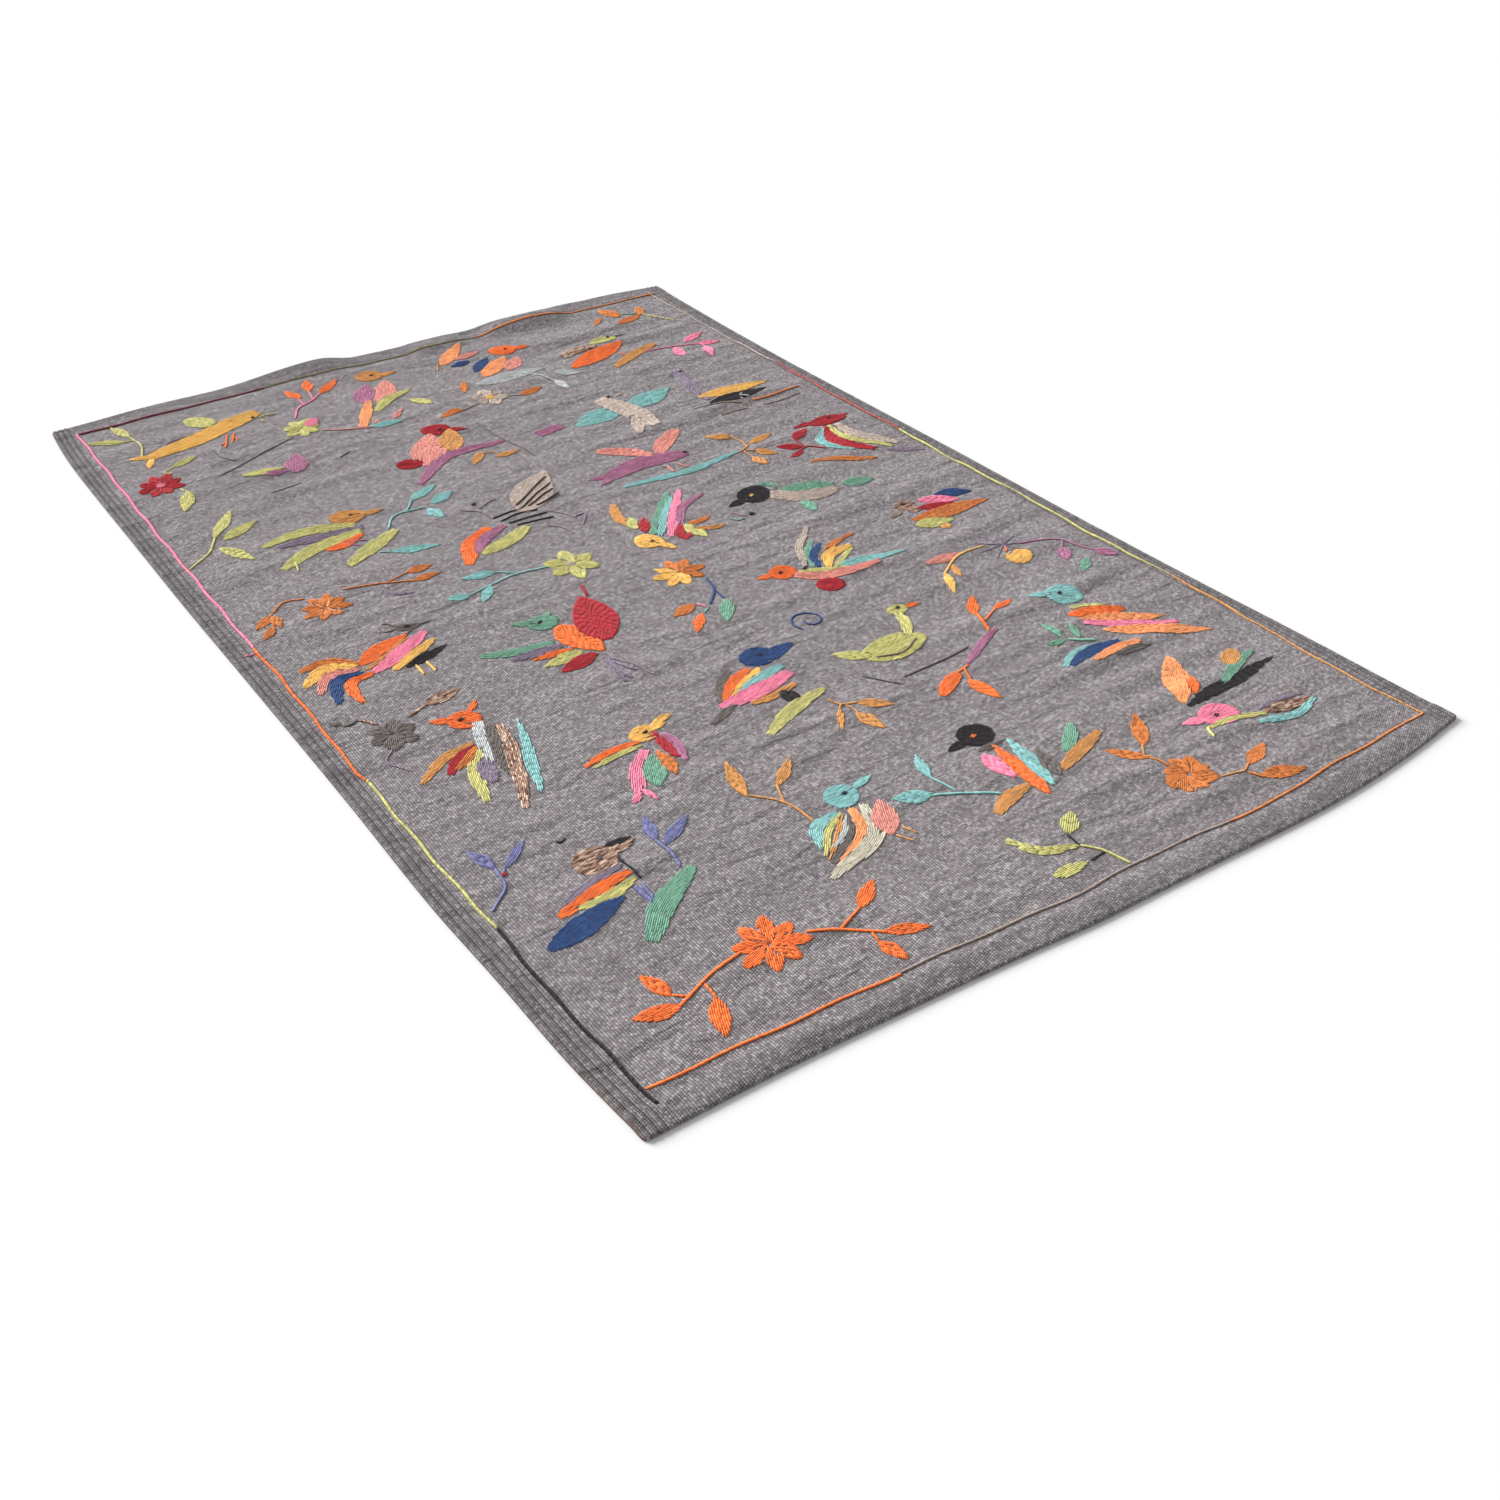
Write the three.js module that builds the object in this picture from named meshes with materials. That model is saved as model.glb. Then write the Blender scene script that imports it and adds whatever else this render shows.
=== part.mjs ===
// Flat-woven rug lying on a floor, in millimetres, +Z up.
// X runs across the rug, Y along it towards its back end, and the underside rests on z = 0.
// The cloth is one sheet with corded long sides and a turned hem at each end. It lies almost flat,
// with shallow ripples across it, one lengthwise crease and a back end that lifts in two places.

import * as THREE from 'three';
import { mergeVertices } from 'three/addons/utils/BufferGeometryUtils.js';

// Sizes of the cloth
const CLOTH_THICKNESS = 4;
const EDGE_ROUNDING = 3;
const CORNER_RADIUS = 10;

// A hem is the cloth turned under at an end, so it stands higher than the single cloth
const HEM_WIDTH = 38;
const HEM_RISE = 2.2;
const HEM_RAMP = 16;

// Each long side is woven round thick cords that stand up with a groove between them
const CORD_PITCH = 11.5;
const CORD_COUNT = 3;
const CORD_RISE = 1.8;
const GROOVE_DEPTH = 0.5;
const CORD_BAND = CORD_PITCH * CORD_COUNT;

// Where the long sides run: x of the left and right side at places along the rug
const SIDES = [
  { y: -1200, left: -757, right: 752 },
  { y: -1060, left: -766, right: 750 },
  { y: -880, left: -769, right: 748 },
  { y: -690, left: -774, right: 743 },
  { y: -400, left: -771, right: 740 },
  { y: 0, left: -771, right: 741 },
  { y: 300, left: -772, right: 739 },
  { y: 600, left: -770, right: 737 },
  { y: 900, left: -768, right: 742 },
  { y: 1050, left: -764, right: 747 },
  { y: 1200, left: -753, right: 752 },
];

// Where the ends run: y of the front and back end at places across the rug
const ENDS = [
  { x: -760, front: -1198, back: 1188 },
  { x: -550, front: -1199, back: 1195 },
  { x: -330, front: -1207, back: 1198 },
  { x: -160, front: -1216, back: 1198 },
  { x: -60, front: -1223, back: 1194 },
  { x: 30, front: -1225, back: 1188 },
  { x: 160, front: -1228, back: 1187 },
  { x: 370, front: -1233, back: 1190 },
  { x: 490, front: -1229, back: 1194 },
  { x: 620, front: -1217, back: 1190 },
  { x: 755, front: -1197, back: 1170 },
];

// The cloth's middle in the coordinates of the tables, which puts the origin under its bounding box
const CLOTH_MIDDLE = { x: -11.1, y: -17.25 };

// Folds: each is a soft ridge along a line that keeps its height for most of it and dies out at both ends
const FOLDS = [
  { name: 'crease along the rug, back part', x1: -20, y1: 1180, x2: -11, y2: 650, halfWidth: 34, height: 6 },
  { name: 'left of the crease along the rug', x1: -50, y1: 900, x2: -46, y2: -1300, halfWidth: 30, height: 1.7 },
  { name: 'right of the crease along the rug', x1: 16, y1: 900, x2: 20, y2: -1300, halfWidth: 28, height: 1.9 },
  { name: 'ridge behind the back border', x1: 228, y1: 1151, x2: 487, y2: 1147, halfWidth: 66, height: 17 },
  { name: 'small ridge behind the back border', x1: 46, y1: 1149, x2: 204, y2: 1147, halfWidth: 60, height: 9 },
  { name: 'ripple', x1: 180, y1: 1022, x2: 620, y2: 987, halfWidth: 46, height: 6.2 },
  { name: 'ripple', x1: -690, y1: 1018, x2: -180, y2: 1043, halfWidth: 34, height: 2.8 },
  { name: 'ripple', x1: 240, y1: 918, x2: 720, y2: 908, halfWidth: 34, height: 4.4 },
  { name: 'ripple', x1: -420, y1: 920, x2: 60, y2: 935, halfWidth: 30, height: 2.8 },
  { name: 'ripple', x1: -730, y1: 848, x2: -380, y2: 836, halfWidth: 28, height: 2.8 },
  { name: 'ripple', x1: 30, y1: 835, x2: 520, y2: 843, halfWidth: 30, height: 3.1 },
  { name: 'ripple', x1: 330, y1: 745, x2: 730, y2: 737, halfWidth: 30, height: 4.4 },
  { name: 'ripple', x1: -730, y1: 737, x2: -330, y2: 730, halfWidth: 30, height: 3.3 },
  { name: 'ripple', x1: 60, y1: 691, x2: 420, y2: 693, halfWidth: 26, height: 3.8 },
  { name: 'ripple', x1: -590, y1: 631, x2: -130, y2: 625, halfWidth: 30, height: 3.9 },
  { name: 'ripple', x1: 330, y1: 607, x2: 735, y2: 595, halfWidth: 30, height: 3.8 },
  { name: 'ripple', x1: -740, y1: 541, x2: -400, y2: 546, halfWidth: 28, height: 2.8 },
  { name: 'ripple', x1: -60, y1: 527, x2: 330, y2: 532, halfWidth: 26, height: 3.1 },
  { name: 'ripple', x1: 60, y1: 450, x2: 720, y2: 474, halfWidth: 36, height: 6.2 },
  { name: 'ripple', x1: -560, y1: 456, x2: -150, y2: 448, halfWidth: 28, height: 2.2 },
  { name: 'ripple', x1: 180, y1: 345, x2: 640, y2: 330, halfWidth: 30, height: 3.1 },
  { name: 'ripple', x1: 300, y1: 247, x2: 735, y2: 255, halfWidth: 30, height: 4.4 },
  { name: 'ripple', x1: -720, y1: 248, x2: -260, y2: 236, halfWidth: 28, height: 2.2 },
  { name: 'ripple', x1: 200, y1: 108, x2: 640, y2: 114, halfWidth: 28, height: 3.1 },
  { name: 'ripple', x1: -740, y1: 96, x2: -420, y2: 104, halfWidth: 28, height: 2.8 },
  { name: 'ripple', x1: 130, y1: -79, x2: 735, y2: -67, halfWidth: 34, height: 5.6 },
  { name: 'ripple', x1: -420, y1: -55, x2: -20, y2: -51, halfWidth: 26, height: 2.2 },
  { name: 'ripple', x1: 60, y1: -174, x2: 480, y2: -166, halfWidth: 28, height: 2.5 },
  { name: 'ripple', x1: 150, y1: -278, x2: 740, y2: -284, halfWidth: 32, height: 5.6 },
  { name: 'ripple', x1: -500, y1: -311, x2: -60, y2: -315, halfWidth: 26, height: 2.2 },
  { name: 'ripple', x1: 230, y1: -406, x2: 700, y2: -412, halfWidth: 28, height: 3.1 },
  { name: 'ripple', x1: 60, y1: -538, x2: 735, y2: -548, halfWidth: 36, height: 6.2 },
  { name: 'ripple', x1: 130, y1: -642, x2: 700, y2: -636, halfWidth: 28, height: 3.1 },
  { name: 'ripple', x1: -330, y1: -622, x2: -40, y2: -618, halfWidth: 24, height: 2 },
  { name: 'ripple', x1: 240, y1: -753, x2: 735, y2: -743, halfWidth: 30, height: 4.4 },
  { name: 'ripple', x1: -700, y1: -773, x2: -330, y2: -765, halfWidth: 26, height: 2 },
  { name: 'ripple', x1: 200, y1: -830, x2: 740, y2: -823, halfWidth: 30, height: 4.4 },
  { name: 'ripple', x1: 150, y1: -896, x2: 640, y2: -890, halfWidth: 28, height: 3.8 },
  { name: 'ripple', x1: 20, y1: -1003, x2: 600, y2: -1023, halfWidth: 36, height: 5.6 },
  { name: 'ripple', x1: -640, y1: -1033, x2: -260, y2: -1025, halfWidth: 26, height: 2 },
  { name: 'ripple', x1: 90, y1: -1113, x2: 690, y2: -1105, halfWidth: 30, height: 4.4 },
];

// Curls: places where the back end turns up, by how far each reaches to its sides and in from the end
const CURLS = [
  { x: -152, reachLeft: 250, reachRight: 96, reachIn: 150, height: 15 },
  { x: 486, reachLeft: 50, reachRight: 70, reachIn: 60, height: 3 },
  { x: -560, reachLeft: 150, reachRight: 180, reachIn: 70, height: 2.5 },
];

// Grid lines of the faces: closer where the cloth changes height
const SIDE_STEPS = [0, 0.8, 3, 5.75, 11.5, 17.25, 23, 28.75, 34.5, 42];
const MIDDLE_X = [
  -660, -570, -470, -380, -300, -230, -185, -150, -115, -84, -60, -38, -14,
  10, 50, 100, 150, 205, 260, 320, 380, 440, 500, 570, 650,
];
const HEM_STEPS = [0, 0.8, 3, 38, 54];
const MIDDLE_ROW_COUNT = 54;

// A value between two numbers
function mix(from, to, part) {
  return from + (to - from) * part;
}

// Zero below 0, one above 1, and a smooth rise between
function smoothStep(part) {
  const p = Math.min(Math.max(part, 0), 1);
  return p * p * (3 - 2 * p);
}

// One in the middle of a ridge, falling smoothly to zero one half-width away
function bump(share) {
  return Math.abs(share) < 1 ? Math.cos((Math.PI * share) / 2) ** 2 : 0;
}

// One along most of a fold, from -1 to 1, falling smoothly to zero at both ends
function plateau(share) {
  return Math.abs(share) < 1 ? (1 - share ** 4) ** 2 : 0;
}

// A smooth curve through one column of a table, read at a place between its rows
function curveThrough(rows, placeKey, valueKey, place) {
  const last = rows.length - 2;
  const found = rows.findIndex((row) => place < row[placeKey]) - 1;
  const i = found < -1 ? last : Math.min(Math.max(found, 0), last);
  const [a, b] = [rows[i], rows[i + 1]];
  const before = rows[Math.max(i - 1, 0)];
  const after = rows[Math.min(i + 2, rows.length - 1)];
  const span = b[placeKey] - a[placeKey];
  const slopeA = ((b[valueKey] - before[valueKey]) / (b[placeKey] - before[placeKey])) * span;
  const slopeB = ((after[valueKey] - a[valueKey]) / (after[placeKey] - a[placeKey])) * span;
  const p = Math.min(Math.max((place - a[placeKey]) / span, 0), 1);
  return (
    (2 * p ** 3 - 3 * p ** 2 + 1) * a[valueKey] +
    (p ** 3 - 2 * p ** 2 + p) * slopeA +
    (3 * p ** 2 - 2 * p ** 3) * b[valueKey] +
    (p ** 3 - p ** 2) * slopeB
  );
}

// How far a fold lifts the cloth at a point
function foldLift(fold, x, y) {
  const [alongX, alongY] = [fold.x2 - fold.x1, fold.y2 - fold.y1];
  const length = Math.hypot(alongX, alongY);
  const along = ((x - fold.x1) * alongX + (y - fold.y1) * alongY) / length ** 2;
  const across = ((y - fold.y1) * alongX - (x - fold.x1) * alongY) / length;
  return fold.height * bump(across / fold.halfWidth) * plateau(2 * along - 1);
}

// How far a curl lifts the cloth at a point that lies some way in from the back end
function curlLift(curl, x, inFromBack) {
  const reach = x < curl.x ? curl.reachLeft : curl.reachRight;
  return curl.height * bump((x - curl.x) / reach) * Math.max(1 - inFromBack / curl.reachIn, 0) ** 2;
}

// Height of the underside above the floor
function underside(x, y, inFromBack) {
  const folds = FOLDS.reduce((sum, fold) => sum + foldLift(fold, x, y), 0);
  return CURLS.reduce((sum, curl) => sum + curlLift(curl, x, inFromBack), folds);
}

// Thickness of the cloth by how far in a point lies from the nearer side and the nearer end
function thickness(inFromSide, inFromEnd) {
  const hem = HEM_RISE * smoothStep((HEM_WIDTH + HEM_RAMP - inFromEnd) / HEM_RAMP);
  const cords =
    inFromSide < CORD_BAND
      ? CORD_RISE * Math.sin((Math.PI * inFromSide) / CORD_PITCH) ** 2 - GROOVE_DEPTH
      : -GROOVE_DEPTH * (1 - smoothStep((inFromSide - CORD_BAND) / (CORD_PITCH / 2)));
  return CLOTH_THICKNESS + hem + cords;
}

// Share of the half thickness that the rounded edge leaves at a distance in from it
function edgeRound(inFromEdge) {
  const part = 1 - Math.min(inFromEdge / EDGE_ROUNDING, 1);
  return Math.sqrt(1 - part ** 2);
}

// The grid's columns, from the left side to the right, each as a function from y to { x, inFromSide }
function makeColumns() {
  const left = SIDE_STEPS.map((step) => (y) => ({
    x: curveThrough(SIDES, 'y', 'left', y) + step,
    inFromSide: step,
  }));
  const right = SIDE_STEPS.map((step) => (y) => ({
    x: curveThrough(SIDES, 'y', 'right', y) - step,
    inFromSide: step,
  }));
  const middle = MIDDLE_X.map((x) => () => ({ x, inFromSide: CORD_BAND * 2 }));
  return [...left, ...middle, ...right.reverse()];
}

// The grid's rows, from the front end to the back, each as a function from x to its place along the rug
function makeRows() {
  const endsAt = (x) => ({
    front: curveThrough(ENDS, 'x', 'front', x),
    back: curveThrough(ENDS, 'x', 'back', x),
  });
  const front = HEM_STEPS.map((step) => (x) => ({
    y: endsAt(x).front + step,
    inFromFront: step,
    inFromBack: endsAt(x).back - endsAt(x).front - step,
  }));
  const back = HEM_STEPS.map((step) => (x) => ({
    y: endsAt(x).back - step,
    inFromFront: endsAt(x).back - endsAt(x).front - step,
    inFromBack: step,
  }));
  const hemBand = HEM_STEPS[HEM_STEPS.length - 1];
  const middle = Array.from({ length: MIDDLE_ROW_COUNT - 1 }, (_, i) => (x) => {
    const { front: y1, back: y2 } = endsAt(x);
    const y = mix(y1 + hemBand, y2 - hemBand, (i + 1) / MIDDLE_ROW_COUNT);
    return { y, inFromFront: y - y1, inFromBack: y2 - y };
  });
  return [...front, ...middle, ...back.reverse()];
}

// The top and bottom point of the cloth where a column and a row cross
function crossing(column, row) {
  const nominalY = row(0).y;
  const { x: straightX, inFromSide } = column(nominalY);
  const { y: straightY, inFromFront, inFromBack } = row(straightX);
  const inFromEnd = Math.min(inFromFront, inFromBack);
  const sideShare = Math.max(1 - inFromSide / CORNER_RADIUS, 0) ** 2;
  const endShare = Math.max(1 - inFromEnd / CORNER_RADIUS, 0) ** 2;
  const pull = (1 - Math.SQRT1_2) * CORNER_RADIUS * sideShare * endShare;
  const x = straightX - Math.sign(straightX) * pull;
  const y = straightY - Math.sign(straightY) * pull;
  const half = thickness(inFromSide, inFromEnd) / 2;
  const middle = underside(x, y, inFromBack) + half;
  const open = half * edgeRound(Math.min(inFromSide, inFromEnd));
  const [placedX, placedY] = [x - CLOTH_MIDDLE.x, y - CLOTH_MIDDLE.y];
  return { top: [placedX, placedY, middle + open], bottom: [placedX, placedY, middle - open] };
}

// The rug's closed surface: a top and a bottom face on one grid, which meet along the rounded edge
function makeRugGeometry() {
  const [columns, rows] = [makeColumns(), makeRows()];
  const grid = columns.map((column) => rows.map((row) => crossing(column, row)));
  const corners = [];
  const addCell = (a, b, c, d) => corners.push(...a, ...b, ...c, ...a, ...c, ...d);
  for (let i = 0; i + 1 < columns.length; i += 1) {
    for (let j = 0; j + 1 < rows.length; j += 1) {
      const cell = [grid[i][j], grid[i + 1][j], grid[i + 1][j + 1], grid[i][j + 1]];
      addCell(...cell.map((point) => point.top));
      addCell(...cell.map((point) => point.bottom).reverse());
    }
  }
  const loose = new THREE.BufferGeometry();
  loose.setAttribute('position', new THREE.Float32BufferAttribute(corners, 3));
  const geometry = mergeVertices(loose, 0.001);
  geometry.computeVertexNormals();
  return geometry;
}

const clothMaterial = new THREE.MeshStandardMaterial({ color: 0x787375, roughness: 0.95, metalness: 0 });
const rug = new THREE.Mesh(makeRugGeometry(), clothMaterial);
rug.name = 'rug';

const model = new THREE.Group();
model.add(rug);

export default model;
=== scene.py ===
"""Looks of the embroidered kilim rug: its ground cloth, its border line, its birds and its plants.

Places in the tables are millimetres on the rug, with x across it and y along it towards the back end.
`to_frame` turns them into the model's metres.
"""

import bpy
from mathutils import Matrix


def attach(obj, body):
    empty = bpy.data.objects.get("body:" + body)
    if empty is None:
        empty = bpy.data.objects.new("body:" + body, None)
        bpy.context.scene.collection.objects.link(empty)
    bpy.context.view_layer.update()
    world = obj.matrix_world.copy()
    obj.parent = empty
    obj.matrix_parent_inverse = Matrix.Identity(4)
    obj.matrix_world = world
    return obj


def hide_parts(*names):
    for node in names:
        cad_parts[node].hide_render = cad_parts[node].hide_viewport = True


bl_info = {
    "name": "Embroidered kilim rug",
    "version": (1, 0, 0),
    "blender": (4, 5, 0),
    "location": "View3D > Sidebar > Rug",
    "description": "Weaves a flat grey rug and works birds, leaves and flowers on it in yarn",
    "category": "Add Mesh",
}

import math

import bpy
import numpy as np
from mathutils import Matrix, Vector

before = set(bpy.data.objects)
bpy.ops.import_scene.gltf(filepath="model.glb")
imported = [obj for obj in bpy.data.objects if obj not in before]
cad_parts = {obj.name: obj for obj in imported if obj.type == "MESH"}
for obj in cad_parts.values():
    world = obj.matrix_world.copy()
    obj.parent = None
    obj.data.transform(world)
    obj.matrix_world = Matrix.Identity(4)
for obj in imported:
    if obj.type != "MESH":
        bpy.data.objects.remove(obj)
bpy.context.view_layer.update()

# The cloth's form, as in the CAD solid

CLOTH_THICKNESS = 4.0
EDGE_ROUNDING = 3.0
CORNER_RADIUS = 10.0
HEM_WIDTH = 38.0
HEM_RISE = 2.2
HEM_RAMP = 16.0
CORD_PITCH = 11.5
CORD_COUNT = 3
CORD_RISE = 1.8
GROOVE_DEPTH = 0.5
CORD_BAND = CORD_PITCH * CORD_COUNT
RIBS_ON_CORD = 3
CLOTH_MIDDLE = (-11.1, -17.25)

# y, then x of the left and of the right side there
SIDES = np.array([
    (-1200, -757, 752), (-1060, -766, 750), (-880, -769, 748), (-690, -774, 743),
    (-400, -771, 740), (0, -771, 741), (300, -772, 739), (600, -770, 737),
    (900, -768, 742), (1050, -764, 747), (1200, -753, 752),
], float)

# x, then y of the front and of the back end there
ENDS = np.array([
    (-760, -1198, 1188), (-550, -1199, 1195), (-330, -1207, 1198), (-160, -1216, 1198),
    (-60, -1223, 1194), (30, -1225, 1188), (160, -1228, 1187), (370, -1233, 1190),
    (490, -1229, 1194), (620, -1217, 1190), (755, -1197, 1170),
], float)

# Ridges: x and y of both ends, half the width, and the height. The first three make the crease along the rug
FOLDS = (
    (-20, 1180, -11, 650, 34, 6), (-50, 900, -46, -1300, 30, 1.7), (16, 900, 20, -1300, 28, 1.9),
    (228, 1151, 487, 1147, 66, 17), (46, 1149, 204, 1147, 60, 9), (180, 1022, 620, 987, 46, 6.2),
    (-690, 1018, -180, 1043, 34, 2.8), (240, 918, 720, 908, 34, 4.4), (-420, 920, 60, 935, 30, 2.8),
    (-730, 848, -380, 836, 28, 2.8), (30, 835, 520, 843, 30, 3.1), (330, 745, 730, 737, 30, 4.4),
    (-730, 737, -330, 730, 30, 3.3), (60, 691, 420, 693, 26, 3.8), (-590, 631, -130, 625, 30, 3.9),
    (330, 607, 735, 595, 30, 3.8), (-740, 541, -400, 546, 28, 2.8), (-60, 527, 330, 532, 26, 3.1),
    (60, 450, 720, 474, 36, 6.2), (-560, 456, -150, 448, 28, 2.2), (180, 345, 640, 330, 30, 3.1),
    (300, 247, 735, 255, 30, 4.4), (-720, 248, -260, 236, 28, 2.2), (200, 108, 640, 114, 28, 3.1),
    (-740, 96, -420, 104, 28, 2.8), (130, -79, 735, -67, 34, 5.6), (-420, -55, -20, -51, 26, 2.2),
    (60, -174, 480, -166, 28, 2.5), (150, -278, 740, -284, 32, 5.6), (-500, -311, -60, -315, 26, 2.2),
    (230, -406, 700, -412, 28, 3.1), (60, -538, 735, -548, 36, 6.2), (130, -642, 700, -636, 28, 3.1),
    (-330, -622, -40, -618, 24, 2), (240, -753, 735, -743, 30, 4.4), (-700, -773, -330, -765, 26, 2),
    (200, -830, 740, -823, 30, 4.4), (150, -896, 640, -890, 28, 3.8), (20, -1003, 600, -1023, 36, 5.6),
    (-640, -1033, -260, -1025, 26, 2), (90, -1113, 690, -1105, 30, 4.4),
)

# Curls of the back end: x, reach to the left and right, reach in from the end, and height
CURLS = ((-152, 250, 96, 150, 15), (486, 50, 70, 60, 3), (-560, 150, 180, 70, 2.5))

# Columns and rows of the cloth's grid, closest where it changes height
SIDE_STEPS = (0, 0.35, 1, 2, 3, 4.4, 5.75, 7.2, 8.8, 10.3, 11.5, 12.7, 14.2, 15.8, 17.25, 18.7, 20.3,
              21.8, 23, 24.2, 25.7, 27.3, 28.75, 30.2, 31.8, 33.3, 34.5, 36, 38, 40.5, 44)
MIDDLE_COLUMN_COUNT = 100
HEM_STEPS = (0, 0.35, 1, 2, 3, 6, 12, 20, 28, 34, 38, 40, 42.5, 45, 47.5, 50, 52.5, 55)
MIDDLE_ROW_COUNT = 250


def smooth_step(part):
    """0 below 0, 1 above 1, and 3p² − 2p³ between."""
    p = np.clip(part, 0, 1)
    return p * p * (3 - 2 * p)


def ridge(share):
    """cos² of a quarter turn times the share, and 0 from a share of 1 outwards."""
    return np.where(np.abs(share) < 1, np.cos(np.pi * share / 2) ** 2, 0.0)


def plateau(share):
    """The square of 1 minus the share's fourth power, and 0 from a share of 1 outwards."""
    return np.where(np.abs(share) < 1, (1 - share**4) ** 2, 0.0)


def curve_through(rows, column, place):
    """The cubic through a table's rows, with each row's slope taken from the rows beside it."""
    places, values = rows[:, 0], rows[:, column]
    i = np.clip(np.searchsorted(places, place, side="right") - 1, 0, len(rows) - 2)
    before, after = np.maximum(i - 1, 0), np.minimum(i + 2, len(rows) - 1)
    span = places[i + 1] - places[i]
    slope_a = (values[i + 1] - values[before]) / (places[i + 1] - places[before]) * span
    slope_b = (values[after] - values[i]) / (places[after] - places[i]) * span
    p = np.clip((place - places[i]) / span, 0, 1)
    return (
        (2 * p**3 - 3 * p**2 + 1) * values[i] + (p**3 - 2 * p**2 + p) * slope_a
        + (3 * p**2 - 2 * p**3) * values[i + 1] + (p**3 - p**2) * slope_b
    )


def underside(x, y, in_from_back):
    """Height of the cloth's underside: the sum of all ridges and curls.

    A ridge is height × cos²(across / half width) × (1 − along⁴)², with along from −1 to 1. A curl falls
    off to its sides as cos² too, and with the square of the distance in from the back end.
    """
    height = np.zeros_like(x)
    for x1, y1, x2, y2, half_width, rise in FOLDS:
        length = math.hypot(x2 - x1, y2 - y1)
        along = ((x - x1) * (x2 - x1) + (y - y1) * (y2 - y1)) / length**2
        across = ((y - y1) * (x2 - x1) - (x - x1) * (y2 - y1)) / length
        height += rise * ridge(across / half_width) * plateau(2 * along - 1)
    for middle, left, right, reach_in, rise in CURLS:
        reach = np.where(x < middle, left, right)
        height += rise * ridge((x - middle) / reach) * np.maximum(1 - in_from_back / reach_in, 0) ** 2
    return height


def thickness(in_from_side, in_from_end):
    """Cloth plus the hem's rise plus the cords, which are sin² waves between grooves."""
    hem = HEM_RISE * smooth_step((HEM_WIDTH + HEM_RAMP - in_from_end) / HEM_RAMP)
    cords = CORD_RISE * np.sin(np.pi * in_from_side / CORD_PITCH) ** 2 - GROOVE_DEPTH
    past = -GROOVE_DEPTH * (1 - smooth_step((in_from_side - CORD_BAND) / (CORD_PITCH / 2)))
    return CLOTH_THICKNESS + hem + np.where(in_from_side < CORD_BAND, cords, past)


def unevenness(x, y):
    """Slow waves of under half a millimetre that hand weaving leaves in the upper face."""
    across = np.sin(y / 9.5 + 2.3 * np.sin(x / 87.0) + 1.1 * np.sin(x / 31.0 + y / 140.0))
    slow = np.sin(x / 64.0 + 1.6 * np.sin(y / 150.0)) * np.sin(y / 38.0 + 1.9 * np.sin(x / 170.0))
    return 0.16 * across + 0.3 * slow


def distances_in(x, y):
    """How far a point is in from the nearer side, the nearer end and the back end."""
    sides = np.minimum(x - curve_through(SIDES, 1, y), curve_through(SIDES, 2, y) - x)
    front, back = y - curve_through(ENDS, 1, x), curve_through(ENDS, 2, x) - y
    return sides, np.minimum(front, back), back


def cloth_top(x, y):
    """Height of the cloth's upper face at points well inside its edges."""
    in_side, in_end, in_back = distances_in(x, y)
    return underside(x, y, in_back) + thickness(in_side, in_end) + unevenness(x, y)


def to_frame(x, y, z):
    """Table millimetres to the model's metres, as rows of x, y and z."""
    return np.stack([x - CLOTH_MIDDLE[0], y - CLOTH_MIDDLE[1], z], axis=-1) / 1000


# Colours and sizes that a user would change


def from_screen(red, green, blue):
    """A colour of a screen, 0 to 255, as the light that it gives, 0 to 1."""
    def light(value):
        share = value / 255
        return share / 12.92 if share <= 0.04045 else ((share + 0.055) / 1.055) ** 2.4

    return light(red), light(green), light(blue)


# Colours on a screen: the browner rib, and the lighter and the darker dye of the variegated yarn
EDGE_BROWN = (104, 74, 62)
DYE_LIGHT = (222, 196, 174)
DYE_DARK = (112, 78, 64)

# Yarn: its colour on a screen
YARNS = {
    "orange": (248, 124, 60), "rust": (216, 130, 68), "ochre": (216, 154, 90), "peach": (252, 168, 112),
    "yellow": (250, 198, 108), "lime": (208, 203, 130), "green": (124, 172, 148), "teal": (146, 200, 198),
    "blue": (50, 80, 132), "lilac": (124, 126, 172), "purple": (180, 118, 150), "pink": (250, 144, 174),
    "salmon": (230, 152, 140), "red": (182, 44, 54), "dark_red": (122, 40, 52), "beige": (196, 178, 166),
    "cream": (212, 205, 185), "light_grey": (198, 201, 201), "purple_grey": (142, 128, 146),
    "taupe": (114, 106, 102), "taupe_brown": (160, 142, 132), "olive": (142, 134, 84), "black": (42, 37, 41),
    "variegated": (172, 136, 118), "brick": (186, 92, 92),
}


def colour_property(label, description, colour):
    """A colour of a PropertyGroup, with its default given as on a screen."""
    return bpy.props.FloatVectorProperty(
        name=label, description=description, subtype="COLOR", size=3, min=0.0, max=1.0,
        default=from_screen(*colour),
    )


def length_property(label, description, default):
    """A length of a PropertyGroup, in metres."""
    return bpy.props.FloatProperty(
        name=label, description=description, subtype="DISTANCE", unit="LENGTH", min=0.0, default=default,
        precision=4,
    )


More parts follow.
